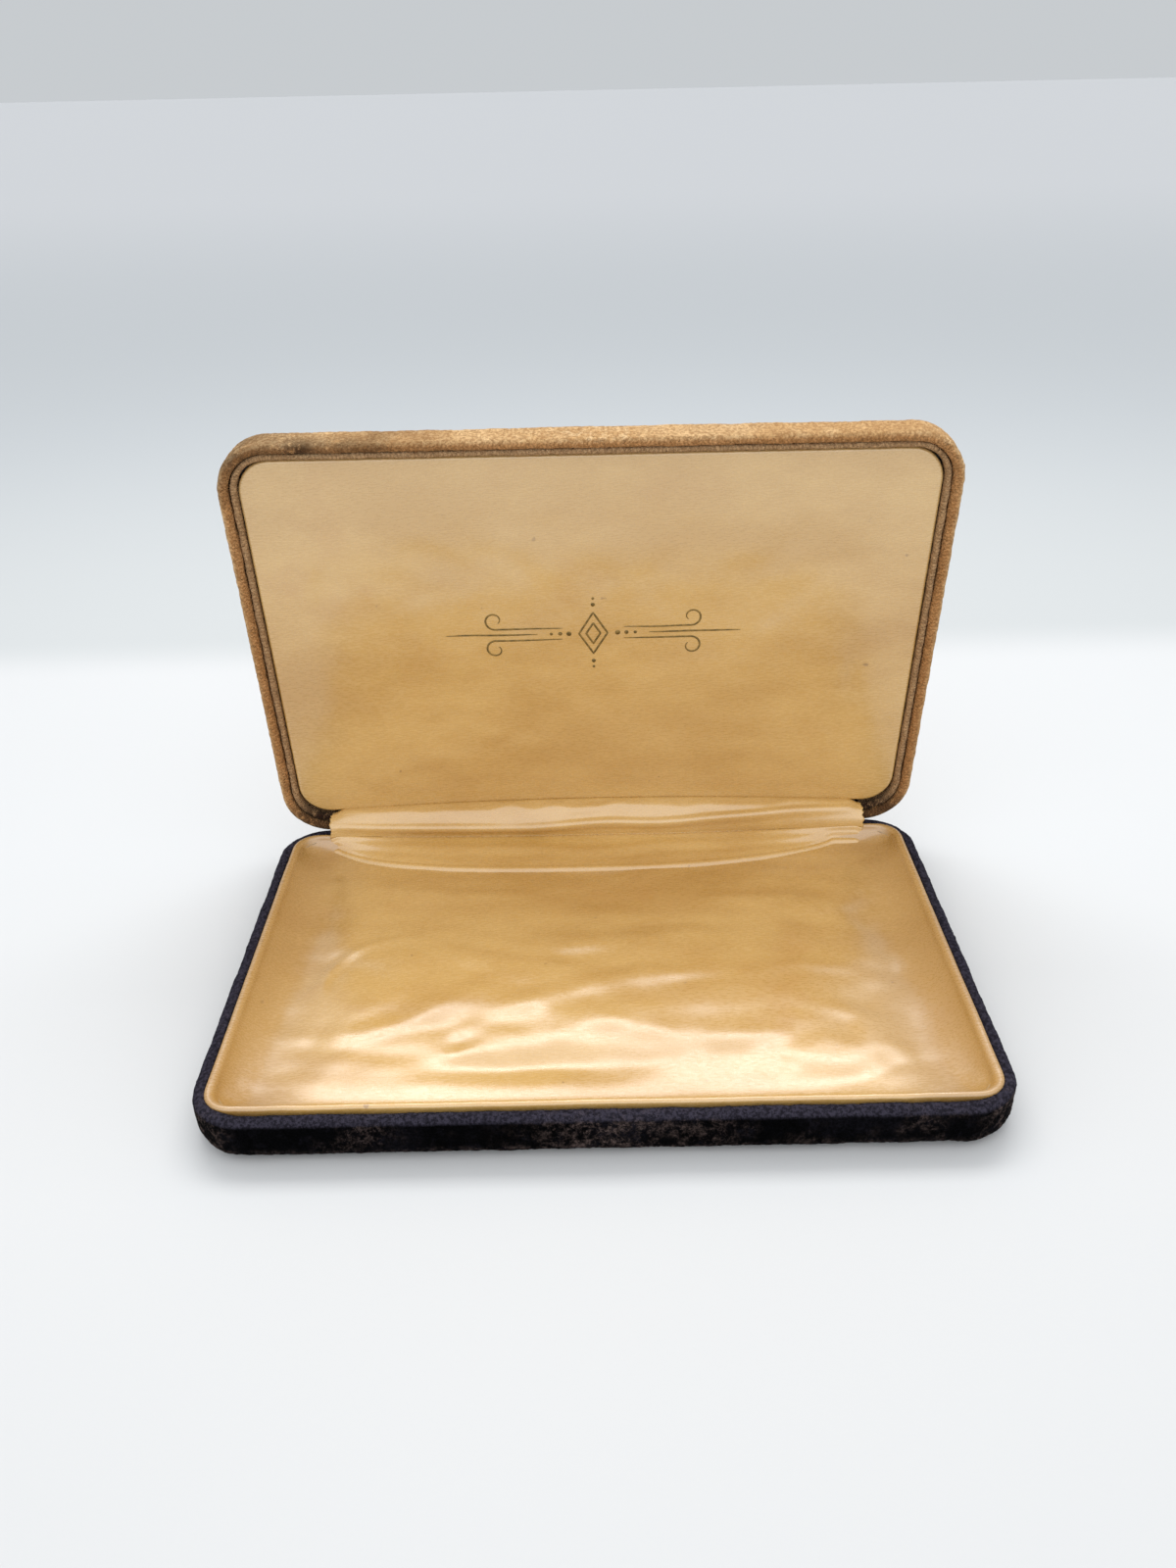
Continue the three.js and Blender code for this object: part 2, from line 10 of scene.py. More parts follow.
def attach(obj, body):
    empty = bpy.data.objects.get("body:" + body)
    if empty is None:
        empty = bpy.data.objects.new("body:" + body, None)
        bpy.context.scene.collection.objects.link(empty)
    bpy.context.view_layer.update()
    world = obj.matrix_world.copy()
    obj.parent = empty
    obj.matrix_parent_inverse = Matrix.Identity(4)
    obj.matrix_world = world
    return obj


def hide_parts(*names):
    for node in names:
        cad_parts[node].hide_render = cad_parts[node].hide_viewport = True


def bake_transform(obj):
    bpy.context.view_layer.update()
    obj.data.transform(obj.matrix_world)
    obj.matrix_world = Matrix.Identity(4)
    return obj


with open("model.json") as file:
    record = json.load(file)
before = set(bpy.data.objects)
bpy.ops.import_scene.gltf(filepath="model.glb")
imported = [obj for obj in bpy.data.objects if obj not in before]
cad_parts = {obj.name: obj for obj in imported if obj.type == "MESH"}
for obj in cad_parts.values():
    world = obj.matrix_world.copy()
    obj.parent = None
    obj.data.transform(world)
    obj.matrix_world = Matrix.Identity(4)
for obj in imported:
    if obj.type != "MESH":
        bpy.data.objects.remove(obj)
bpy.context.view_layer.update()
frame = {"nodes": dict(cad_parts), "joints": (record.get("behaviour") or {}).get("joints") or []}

# A velvet-covered necklace case, open, with satin linings. Shapes are worked out in
# millimetres. The lid's pieces are drawn shut, lying over the base, and are then
# opened about the hinge.

MM = 0.001


# ---- measures taken from the frame ----

def node_points(name):
    mesh = frame["nodes"][name].data
    points = np.empty(3 * len(mesh.vertices))
    mesh.vertices.foreach_get("co", points)
    return points.reshape(-1, 3) / MM


HINGE = next(joint for joint in frame["joints"] if joint["name"] == "lid_hinge")
AXIS_Y, AXIS_Z = HINGE["pos_m"][1] / MM, HINGE["pos_m"][2] / MM
OPEN_ANGLE = math.radians(HINGE["range_deg"][1])


def turned(points, angle):
    """Points turned about the hinge axis; a positive angle shuts the lid."""
    y, z = points[..., 1] - AXIS_Y, points[..., 2] - AXIS_Z
    cos, sin = math.cos(angle), math.sin(angle)
    return np.stack([points[..., 0],
                     AXIS_Y + y * cos - z * sin,
                     AXIS_Z + y * sin + z * cos], axis=-1)


def opened(points):
    return turned(points, -OPEN_ANGLE)


def limits(points):
    return points.min(axis=0), points.max(axis=0)


BASE_LOW, BASE_HIGH = limits(node_points("base_velvet_cover"))
LID_HIGH = turned(node_points("lid_velvet_cover"), OPEN_ANGLE).max(axis=0)
PAD_LOW, PAD_HIGH = limits(turned(node_points("lid_satin_pad"), OPEN_ANGLE))
LINING_HIGH = node_points("base_satin_lining").max(axis=0)

WIDTH = BASE_HIGH[0] - BASE_LOW[0]
DEPTH = BASE_HIGH[1] - BASE_LOW[1]
BACK = BASE_HIGH[1]
RIM = BASE_HIGH[2]
LID_RIM = AXIS_Z + (AXIS_Z - RIM)
LID_DEPTH = LID_HIGH[2] - LID_RIM

# Corner radius, radius of the edge round each flat face, and how velvet and satin are rolled.
CORNER = 14.5
EDGE = 5.0
PILE = 0.7
TURN_IN = 6.0
BASE_BEAD = 2.0
LID_BEAD = 1.45
HINGE_HALF = 86.0
LINING_INSET = BACK - LINING_HIGH[1]
LIP_BEAD = 0.95
LIP_EDGE = LINING_INSET + 2 * LIP_BEAD
LIP_FOOT = 12.3
VALLEY = 8.4
CROWN = 13.3
PAD_CORNER = 9.7


# ---- small tools ----

def smooth(value, low, high):
    t = np.clip((value - low) / (high - low), 0, 1)
    return t * t * (3 - 2 * t)


def lumps(points, size, seed):
    """Smooth noise from -1 to 1 at points, with lumps about size across (one number, or one per axis)."""
    table = np.random.default_rng(seed).uniform(-1, 1, 4096)
    scaled = points / np.asarray(size, float)
    cell = np.floor(scaled).astype(int)
    part = scaled - cell
    part = part * part * (3 - 2 * part)
    total = np.zeros(len(points))
    for corner in np.ndindex(*([2] * points.shape[1])):
        weight = np.ones(len(points))
        key = np.zeros(len(points), int)
        for axis, step in enumerate(corner):
            weight *= part[:, axis] if step else 1 - part[:, axis]
            key += (cell[:, axis] + step) * (73, 9151, 120011)[axis]
        total += weight * table[key % 4096]
    return total


def arc(centre, radius, start, end, count):
    angles = np.radians(np.linspace(start, end, count))
    return np.stack([centre[0] + radius * np.cos(angles),
                     centre[1] + radius * np.sin(angles)], axis=-1)


def line(start, end, count):
    """Points from start up to, but without, end."""
    return np.linspace(start, end, count, endpoint=False)


def make_object(name, points, faces):
    mesh = bpy.data.meshes.new(name)
    mesh.from_pydata((np.asarray(points) * MM).tolist(), [], faces)
    mesh.validate()
    mesh.update()
    mesh.shade_smooth()
    piece = bpy.data.objects.new(name, mesh)
    bpy.context.scene.collection.objects.link(piece)
    return piece


def attribute(piece, name, values):
    made = piece.data.attributes.new(name, "FLOAT", "POINT")
    made.data.foreach_set("value", np.asarray(values, np.float32))


def apply_modifiers(piece):
    graph = bpy.context.evaluated_depsgraph_get()
    mesh = bpy.data.meshes.new_from_object(piece.evaluated_get(graph))
    piece.modifiers.clear()
    piece.data = mesh
    mesh.shade_smooth()


def add_modifier(piece, kind, **settings):
    made = piece.modifiers.new(kind.title(), kind)
    for key, value in settings.items():
        setattr(made, key, value)
    return made


def coordinates(piece, what="co"):
    values = np.empty(3 * len(piece.data.vertices), np.float32)
    piece.data.vertices.foreach_get(what, values)
    return values.reshape(-1, 3).astype(float)


def set_coordinates(piece, points):
    piece.data.vertices.foreach_set("co", points.astype(np.float32).ravel())
    piece.data.update()


def strip_faces(rows, columns, wrap):
    """Quads between rows of points, numbered row by row. Rows join end to start when wrap is true."""
    faces = []
    for i in range(rows if wrap else rows - 1):
        a, b = i * columns, (i + 1) % rows * columns
        faces += [(a + j, b + j, b + j + 1, a + j + 1) for j in range(columns - 1)]
    return faces


# ---- outlines ----

def outline(width, depth, corner, step, y=0):
    """Points round a rounded rectangle and their inward directions, from the middle of the back."""
    x, d = width / 2 - corner, depth / 2 - corner
    straights = [((0, 1), (0, -1), (1, 0), x), ((x + corner, 0), (-1, 0), (0, -1), d),
                 ((0, -1), (0, 1), (-1, 0), x), ((-x - corner, 0), (1, 0), (0, 1), d)]
    points, inward = [], []
    for i, (middle, normal, along, half) in enumerate(straights):
        middle = np.array([middle[0], middle[1] * (d + corner)])
        first = 0 if i == 0 else -half
        count = max(int(round((half - first) / step)), 1)
        travel = np.linspace(first, half, count, endpoint=False)[:, None]
        points.append(middle + travel * np.array(along))
        inward.append(np.repeat([normal], count, axis=0))
        centre = middle + half * np.array(along) + corner * np.array(normal)
        count = max(int(round(corner * math.pi / 2 / step)), 4)
        turn = -np.array(normal)
        angles = np.linspace(0, -math.pi / 2, count, endpoint=False)
        out = np.stack([turn[0] * np.cos(angles) - turn[1] * np.sin(angles),
                        turn[0] * np.sin(angles) + turn[1] * np.cos(angles)], axis=-1)
        points.append(centre + corner * out)
        inward.append(-out)
    count = int(round(x / step))
    travel = np.linspace(-x, 0, count, endpoint=False)[:, None]
    points.append(np.array([0, d + corner]) + travel * np.array((1, 0)))
    inward.append(np.repeat([(0, -1)], count, axis=0))
    points, inward = np.concatenate(points), np.concatenate(inward).astype(float)
    points[:, 1] += y
    return points, inward


def swept(points, inward, insets, heights):
    """Sections of (inset, height) set along an outline: one row of points per outline point."""
    flat = points[:, None, :] + inward[:, None, :] * insets[..., None]
    return np.concatenate([flat, np.broadcast_to(heights, flat.shape[:2])[..., None]], axis=-1)


def on_hinge(points, start, end):
    """1 along the back, falling to 0 from start to end, both measured from the hinge's ends."""
    back = smooth(points[:, 1], points[:, 1].max() - 1, points[:, 1].max() - 0.5)
    return back * (1 - smooth(np.abs(points[:, 0]), HINGE_HALF + start, HINGE_HALF + end))


# ---- velvet covers ----

FLOOR_INSET = 11.0
HINGE_DROP = 1.35
HINGE_ROLL = 0.72
VELVET_STEP = 0.75
FLOOR_STEPS = 10
EDGE_STEPS = 18
WALL_STEPS = 14
BEAD_STEPS = 20
INSIDE_STEPS = 12
BEAD_START = FLOOR_STEPS + EDGE_STEPS - 1 + WALL_STEPS
OUTER_COUNT = BEAD_START + BEAD_STEPS - 1 + INSIDE_STEPS


def rolled_section(depth, bead, drop):
    """Section (inset, distance from the mouth) of a velvet cover, from its underside, up the
    outside, over the rolled rim, down inside, and back to the floor on its hidden face."""
    inner = EDGE - PILE
    fold = 2 * bead
    pieces = [
        line((FLOOR_INSET, depth), (EDGE, depth), FLOOR_STEPS),
        arc((EDGE, depth - EDGE), EDGE, 90, 180, EDGE_STEPS)[:-1],
        line((0, depth - EDGE), (0, drop + bead), WALL_STEPS),
        arc((bead, drop + bead), bead, 180, 360, BEAD_STEPS)[:-1],
        line((fold, drop + bead), (fold, TURN_IN), INSIDE_STEPS),
        line((fold, TURN_IN), (fold - PILE, TURN_IN), 2),
        line((fold - PILE, TURN_IN), (fold - PILE, drop + bead), 3),
        arc((bead, drop + bead), bead - PILE * 0.8, 360, 180, 6)[:-1],
        line((PILE, drop + bead), (PILE, depth - EDGE), 3),
        arc((EDGE, depth - EDGE), inner, 180, 90, 6)[:-1],
        np.array([(EDGE, depth - PILE), (FLOOR_INSET, depth - PILE)]),
    ]
    return np.concatenate(pieces)


def run_along(path):
    """Distance from the start of a path to each of its points."""
    return np.concatenate([[0], np.cumsum(np.linalg.norm(np.diff(path, axis=0), axis=1))])


def velvet_cover(name, depth, bead, mouth, up, seed):
    """A cover with its mouth at that height, opening upwards (up = 1) or downwards (-1)."""
    points, inward = outline(WIDTH, DEPTH, CORNER, VELVET_STEP)
    plain, cut = rolled_section(depth, bead, 0.0), rolled_section(depth, HINGE_ROLL, HINGE_DROP)
    share = on_hinge(points, -0.9, 0.9)[:, None]
    insets = plain[:, 0] * (1 - share) + cut[:, 0] * share
    falls = plain[:, 1] * (1 - share) + cut[:, 1] * share
    rows = swept(points, inward, insets, mouth - up * falls)
    count, width = rows.shape[:2]
    faces = strip_faces(count, width, True)
    faces.append([i * width for i in range(count)][::-1])
    faces.append([i * width + width - 1 for i in range(count)])
    if up < 0:
        faces = [tuple(face)[::-1] for face in faces]
    across = run_along(plain)
    place = rows.reshape(-1, 3)
    piece = make_object(name, place, faces)
    attribute(piece, "along", np.repeat(run_along(points), width))
    attribute(piece, "across", np.tile(across - across[BEAD_START], count))
    attribute(piece, "worn", wear(place, mouth - up * depth))
    if up < 0:
        attribute(piece, "darker_pile", 0.8 * darker_pile(place) + darkened(place))
    ruffle(piece, np.tile(np.arange(width), count), seed)
    return piece


# How far the pile is rubbed and darkened, and how high its crush and fuzz stand.
CORNER_WEAR = 0.8
EDGE_WEAR = 0.7
THUMB_WEAR = 0.9
THUMB_HALF = 15
DARKER_RUN = 13
DARK_FROM = 25
DARK_FULL = 80
DARK_PATCH = 7
CRUSH = 0.16
RUMPLE = 0.11
FUZZ = 0.09


def wear(points, bottom):
    """0 to 1 where hands rub the pile: the corners, the edge by the flat face, and mid front."""
    x, y, z = points.T
    corner = smooth(np.abs(x), WIDTH / 2 - 14, WIDTH / 2 - 5)
    corner *= smooth(np.abs(y), DEPTH / 2 - 16, DEPTH / 2 - 6)
    away = np.abs(z - bottom)
    edge = smooth(away, 0.2, 1.0) * (1 - smooth(away, 2.0, 5.0))
    thumb = np.exp(-(x / THUMB_HALF) ** 2) * (1 - smooth(y + DEPTH / 2, 2, 6))
    corner *= smooth(away, 0, 0.8)
    return np.clip(CORNER_WEAR * corner + EDGE_WEAR * edge + THUMB_WEAR * thumb, 0, 1)


def darker_pile(points):
    """0 to 1 where the pile is painted darker, at the lid's two corners by the hinge. Points are shut."""
    x, y, z = points.T
    corner = smooth(np.abs(x), HINGE_HALF - 4, HINGE_HALF) * smooth(y, BACK - DARKER_RUN, BACK - 5)
    return corner * (1 - smooth(np.abs(z - LID_RIM), 3, 6))


def darkened(points):
    """0 to 1 in dark patches along the lid's free edge, on the left. Points are shut."""
    x, y, z = points.T
    near = smooth(-x, DARK_FROM, DARK_FULL) * smooth(-y, DEPTH / 2 - 20, DEPTH / 2 - 8)
    near *= 1 - smooth(z - LID_RIM, LID_DEPTH - 4.5, LID_DEPTH - 1.5)
    return near * np.clip(0.50 + 0.48 * lumps(points, DARK_PATCH, 51), 0, 1)


def ruffle(piece, column, seed):
    """Crushed nap and the fuzz of the pile, on the side that shows."""
    points, normals = coordinates(piece) / MM, coordinates(piece, "normal")
    shown = smooth(column, 6, 12) * (1 - smooth(column, OUTER_COUNT - 4, OUTER_COUNT - 1))
    crushed = CRUSH * lumps(points, 5.5, seed) + RUMPLE * lumps(points, 2.1, seed + 1)
    fuzz = FUZZ * np.random.default_rng(seed).uniform(-1, 1, len(points))
    near = 1 - 0.75 * on_hinge_volume(points)
    set_coordinates(piece, (points + normals * ((crushed + fuzz) * shown * near)[:, None]) * MM)


def on_hinge_volume(points):
    """1 close to the hinge axis, where the velvet lies flat."""
    reach = np.hypot(points[:, 1] - AXIS_Y, points[:, 2] - AXIS_Z)
    return 1 - smooth(reach, 2.5, 5.0)


def open_lid(piece):
    set_coordinates(piece, opened(coordinates(piece) / MM) * MM)
    return piece


def cut_ring(points, inward):
    """The stretch of an outline that leaves out the hinge."""
    keep = (np.abs(points[:, 0]) >= HINGE_HALF) | (points[:, 1] < points[:, 1].max() - 0.01)
    return points[keep], inward[keep]


LIP_OUTER = 2 * LID_BEAD + 0.3
LIP_INNER = 5.0
LIP_BEHIND = 1.3
LIP_STEP = 0.7


def lid_lip():
    """The strip of velvet that stands between the lid's rim and its pad."""
    points, inward = cut_ring(*outline(WIDTH, DEPTH, CORNER, LIP_STEP))
    half = (LIP_INNER - LIP_OUTER) / 2
    top, foot = LID_RIM + LIP_BEHIND, LID_RIM + TURN_IN + 0.3
    middle = LIP_OUTER + half
    section = np.concatenate([
        line((LIP_OUTER, foot), (LIP_OUTER, top + half), 8),
        arc((middle, top + half), half, 180, 360, 11),
        line((LIP_INNER, top + half), (LIP_INNER, foot), 8)[1:],
        [(LIP_INNER, foot)],
    ])
    rows = swept(points, inward, section[:, 0][None], section[:, 1][None])
    count, width = rows.shape[:2]
    faces = strip_faces(count, width, False)
    faces += [(i * width, i * width + width - 1, (i + 1) * width + width - 1, (i + 1) * width)
              for i in range(count - 1)]
    faces += [tuple(range(width))[::-1], tuple((count - 1) * width + j for j in range(width))]
    piece = make_object("lid_inner_lip", rows.reshape(-1, 3), [face[::-1] for face in faces])
    attribute(piece, "along", np.repeat(run_along(points), width))
    attribute(piece, "across", np.tile(np.linspace(0, 3, width), count))
    attribute(piece, "darker_pile", darker_pile(rows.reshape(-1, 3)))
    place, normals = coordinates(piece) / MM, coordinates(piece, "normal")
    height = 0.14 * lumps(place, 2.6, 31) + 0.07 * lumps(place, 0.9, 32)
    shown = 1 - smooth(place[:, 2], top + 3.5, foot - 0.3)
    set_coordinates(piece, (place + normals * (height * shown)[:, None]) * MM)
    return open_lid(piece)


# ---- padded satin ----

# Where the lining falls to its valley and rises to its crown, and how its surface is broken up.
LIP_SIZE = WIDTH - 2 * LIP_EDGE, DEPTH - 2 * LIP_EDGE
GRID_INSET = LIP_EDGE + 0.5
END_VALLEY = 3.4
SIDE_VALLEY = 12.0
RISE_RUN = 36.0
SIDE_RISE_RUN = 44.0
LINING_CORNER = 5.2
MITRE = 5.0
UNDER_GUSSET = 7.9
SIDE_BULGE = 0.9
FRONT_HOLLOW = 1.3
LINING_STEP = 1.6
PAD_STEP = 1.9
WRINKLE_GAIN = 1.5
HOLLOW_MIDDLE = (-8, 15.5)
HOLLOW_SIZE = (25, 5.4)
BROAD_LUMP = 0.50
FINE_LUMP = 0.15


def patch(width, depth, corner, step):
    """A grid of points that fills a rounded rectangle, its faces, its border and outward directions."""
    def ticks(half):
        straight, bend = half - corner, max(int(round(corner / step)), 3)
        flat = np.linspace(-straight, straight, max(int(round(2 * straight / step)), 2) + 1)
        curve = np.linspace(0, corner, bend + 1)[1:]
        return np.concatenate([-straight - curve[::-1], flat, straight + curve])

    xs, ys = ticks(width / 2), ticks(depth / 2)
    x, y = (grid.ravel() for grid in np.meshgrid(xs, ys, indexing="ij"))
    p = np.clip((np.abs(x) - width / 2 + corner) / corner, 0, 1)
    q = np.clip((np.abs(y) - depth / 2 + corner) / corner, 0, 1)
    bent_x = np.abs(x) + corner * p * (np.sqrt(1 - q * q / 2) - 1)
    bent_y = np.abs(y) + corner * q * (np.sqrt(1 - p * p / 2) - 1)
    points = np.stack([np.sign(x) * bent_x, np.sign(y) * bent_y], axis=-1)
    columns = len(ys)
    last = len(xs) - 1
    border = ([i * columns for i in range(last)] + [last * columns + j for j in range(columns - 1)]
              + [i * columns + columns - 1 for i in range(last, 0, -1)]
              + [j for j in range(columns - 1, 0, -1)])
    edge = points[border]
    out = np.sign(edge) * np.maximum(np.abs(edge) - (width / 2 - corner, depth / 2 - corner), 0)
    out /= np.linalg.norm(out, axis=1)[:, None]
    return points, strip_faces(len(xs), columns, False), border, out


def padded_sheet(name, shape, floor, ring, y=0):
    """One sheet over a patch: floor gives the height inside, and ring the (outset, height) rows
    beyond its border, one array for each place on the border."""
    points, faces, border, out = patch(*shape)
    heights = floor(points + (0, y))
    start = len(points)
    outset, level = ring(points[border] + (0, y), heights[border])
    rim = points[border][:, None, :] + out[:, None, :] * outset[..., None]
    rows = rim.shape[1]
    flat = np.concatenate([points, rim.transpose(1, 0, 2).reshape(-1, 2)]) + (0, y)
    all_heights = np.concatenate([heights, level.T.ravel()])
    around = len(border)
    loops = [border] + [list(range(start + k * around, start + (k + 1) * around)) for k in range(rows)]
    for inner, outer in zip(loops, loops[1:]):
        faces += [(inner[i], outer[i], outer[(i + 1) % around], inner[(i + 1) % around])
                  for i in range(around)]
    return make_object(name, np.column_stack([flat, all_heights]), faces), len(points)


def wrinkle(points, x, y, angle, length, width, height, bend=0.0):
    """A soft ridge (or a dent where height is negative), bent sideways by bend at its ends."""
    turn = math.radians(angle)
    dx, dy = points[:, 0] - x, points[:, 1] - y
    u = dx * math.cos(turn) + dy * math.sin(turn)
    v = -dx * math.sin(turn) + dy * math.cos(turn) - bend * (u / length) ** 2
    return height * np.exp(-(u / length) ** 2 - (v / width) ** 2)


# Each row: middle x and y, angle, length, width, height, and sideways bend if it has one.
BASE_WRINKLES = [
    (-68, 4, 28, 14, 1.6, 0.42, -5),
    (-77, -8, 75, 8, 1.5, 0.30, -2),
    (-40, 27, -6, 26, 3.2, 0.34, 4),
    (8, 20, -10, 30, 3.5, -0.32, 3),
    (46, 23, 5, 24, 3.0, 0.28, -3),
    (20, 5, 4, 28, 3.4, 0.36, -4),
    (-20, -4, -8, 22, 3.0, -0.30, 4),
    (52, -9, 12, 18, 3.0, 0.30, -4),
    (10, -14, 10, 34, 3.6, 0.40, -5),
    (-58, -31, 14, 20, 3.4, 0.34, 4),
    (-10, -46, 3, 44, 3.0, -0.12, 2),
    (30, -36, -4, 30, 3.6, 0.32, 3),
    (66, -50, 20, 14, 3.2, -0.34, 2),
    (-38, -37, 20, 4, 2.6, -0.45),
    (46, -46, 0, 3, 2.2, -0.30),
]

LID_WRINKLES = [
    (-45, 28, -25, 8, 2.6, 0.34),
    (-28, 33, -40, 5, 2.0, -0.40),
    (-20, 44, -25, 7, 2.2, -0.34),
    (-52, 40, -10, 18, 3.0, 0.26, 3),
    (6, 46, 4, 30, 3.0, -0.22, -3),
    (48, 38, 8, 20, 3.4, 0.22, 3),
    (70, 30, 60, 14, 3.0, 0.20),
    (-84, -52, 40, 7, 2.4, -0.30),
]


def edge_distance(points, width, depth, corner):
    """How far inside a rounded rectangle each point lies."""
    out = np.abs(points) - (width / 2 - corner, depth / 2 - corner)
    beyond = np.linalg.norm(np.maximum(out, 0), axis=1)
    return corner - beyond - np.minimum(out.max(axis=1), 0)


RISE_STEPS = np.linspace(0, 1, 101)
RISE_SLOPE = smooth(RISE_STEPS, -0.02, 0.10) * (1 - smooth(RISE_STEPS, 0.76, 1.0))
RISE = np.cumsum(RISE_SLOPE) / RISE_SLOPE.sum()


def plain_floor(points):
    """Height of the padding without wrinkles: down from the lip to a valley, then an even slope up
    to the crown. The slopes of neighbouring sides meet on a soft mitre."""
    side = WIDTH / 2 - LIP_EDGE - np.abs(points[:, 0])
    end = BACK - LIP_EDGE - np.abs(points[:, 1])
    matched = np.interp(side, (0, SIDE_VALLEY, SIDE_VALLEY + SIDE_RISE_RUN),
                        (0, END_VALLEY, END_VALLEY + RISE_RUN))
    near = -MITRE * np.log(np.exp(-matched / MITRE) + np.exp(-end / MITRE))
    rise = np.interp((near - END_VALLEY) / RISE_RUN, RISE_STEPS, RISE)
    inner = edge_distance(points, *LIP_SIZE, LINING_CORNER)
    share = np.clip(end, 0, None) / np.maximum(np.clip(side, 0, None) + np.clip(end, 0, None), 1e-6)
    fall = ((1 - share) * (1 - np.clip(inner / END_VALLEY, 0, 1)) ** 2
            + share * (1 - np.clip(inner / SIDE_VALLEY, 0, 1)) ** 2)
    return VALLEY + (LIP_FOOT - VALLEY) * fall + (CROWN - VALLEY) * rise


def base_floor(points):
    """Height of the padding with its wrinkles, its hollow by the front lip and its dip at the hinge."""
    padded = smooth(edge_distance(points, *LIP_SIZE, 1.0), 1.5, 14)
    place = points + (0, BACK - LIP_EDGE) - HOLLOW_MIDDLE
    height = plain_floor(points) - FRONT_HOLLOW * np.exp(-((place / HOLLOW_SIZE) ** 2).sum(axis=1))
    for each in BASE_WRINKLES:
        height = height + WRINKLE_GAIN * wrinkle(points, *each) * padded
    height += padded * BROAD_LUMP * lumps(points, (30, 11), 5)
    height += padded * FINE_LUMP * lumps(points, (11, 4.5), 6)
    ridge = ridge_place(points[:, 0])[0]
    under = smooth(points[:, 1] - ridge, 0.4, 4.5) * (1 - smooth(np.abs(points[:, 0]), 76, 84))
    return height + (UNDER_GUSSET - height) * under


LIP_TOP = LINING_HIGH[2]


def base_ring(points, heights):
    """Up to the padded lip, over it and down its outer side. Along the hinge the sheet runs out
    flat instead, under the gusset."""
    shoulder = LIP_TOP - LIP_BEAD
    middle = LINING_INSET + LIP_BEAD
    bead = arc((middle, shoulder), LIP_BEAD, 0, 180, 11)
    wall = line((LINING_INSET, shoulder), (LINING_INSET, VALLEY), 5)[1:]
    insets = np.concatenate([bead[:, 0], wall[:, 0]])
    tops = np.concatenate([bead[:, 1], wall[:, 1]])
    flat_insets = np.linspace(GRID_INSET - 0.1, LIP_EDGE + 0.1, len(insets))
    share = on_hinge(points, -9, -4)[:, None]
    wave = 0.20 * lumps(points, 17, 8) + 0.10 * lumps(points, 6, 9)
    proud = wave[:, None] * smooth(tops, shoulder - 0.5, shoulder + 0.5) * 0.8
    side = WIDTH / 2 - GRID_INSET - np.abs(points[:, 0])
    bulge = SIDE_BULGE * (1 - smooth(side, 0.2, 5))[:, None]
    outset = GRID_INSET - (insets * (1 - share) + flat_insets * share) + bulge * np.minimum(
        np.arange(len(insets)) / 5, 1)
    return outset, (tops + proud) * (1 - share) + heights[:, None] * share


SATIN = 0.4
HEM_WIDTH = 14
CLOTH_STEPS = 20
EVENING_PASSES = 5


def thickened(piece, thickness):
    """A sheet made smoother and given its thickness, on its inner side."""
    add_modifier(piece, "SUBSURF", levels=1)
    apply_modifiers(piece)
    add_modifier(piece, "SOLIDIFY", thickness=thickness * MM, offset=-1)
    apply_modifiers(piece)


def base_lining():
    shape = (WIDTH - 2 * GRID_INSET, DEPTH - 2 * GRID_INSET, LINING_CORNER, LINING_STEP)
    piece, inside = padded_sheet("base_satin", shape, base_floor, base_ring)
    settle(piece, inside, GRID_INSET, cap=0.45, slack=0.009, seed=3)
    points = coordinates(piece)
    corner = np.min(np.abs(points[:, :2]) / MM - (WIDTH / 2, DEPTH / 2), axis=1) + CORNER
    share = smooth(corner, -2, 2) * (np.arange(len(points)) < inside)
    points[:, 2] += (evened(piece, points)[:, 2] - points[:, 2]) * share
    set_coordinates(piece, points)
    thickened(piece, SATIN)
    place = coordinates(piece) / MM
    # An even darker tone over the whole lining, plus painted shade: darker towards the sides, and darker
    # still where the sides fall into the valley.
    sides = smooth(np.abs(place[:, 0]), WIDTH / 2 - 34, WIDTH / 2 - 14)
    valley = 1 - smooth(edge_distance(place[:, :2], WIDTH, DEPTH, CORNER), 9, 22)
    attribute(piece, "tone_and_side_shade", 0.22 + 0.45 * sides + 0.33 * valley * sides)
    return piece


def settle(piece, inside, margin, cap, slack, seed):
    """Lets the satin take up its own slack as cloth, held round its edge, over the padding."""
    rest = coordinates(piece)
    low, high = limits(rest)
    gap = np.minimum(rest[:, :2] - low[:2], high[:2] - rest[:, :2]).min(axis=1) / MM
    held = 1 - smooth(gap, margin - 2, margin + HEM_WIDTH)
    held[inside:] = 1
    group = piece.vertex_groups.new(name="held")
    for i, weight in enumerate(held):
        group.add([i], float(weight), "REPLACE")
    jitter = 0.05 * MM * np.random.default_rng(seed).uniform(-1, 1, len(rest))
    start = rest.copy()
    start[:, 2] += jitter * (1 - held)
    set_coordinates(piece, start)
    cloth = piece.modifiers.new("Cloth", "CLOTH").settings
    cloth.vertex_group_mass = "held"
    cloth.pin_stiffness = 8
    cloth.shrink_min = -slack
    cloth.bending_stiffness = 0.05
    cloth.tension_stiffness = 25
    cloth.compression_stiffness = 25
    cloth.air_damping = 4
    cloth.mass = 0.1
    cloth.effector_weights.gravity = 0
    for step in range(1, CLOTH_STEPS + 1):
        bpy.context.scene.frame_set(step)
    apply_modifiers(piece)
    moved = evened(piece, coordinates(piece) - rest)
    far = np.linalg.norm(moved, axis=1)
    limit = cap * MM * (1 - held)
    moved *= (limit * np.tanh(far / np.maximum(limit, 1e-9)) / np.maximum(far, 1e-9))[:, None]
    set_coordinates(piece, rest + moved)
    bpy.context.scene.frame_set(1)


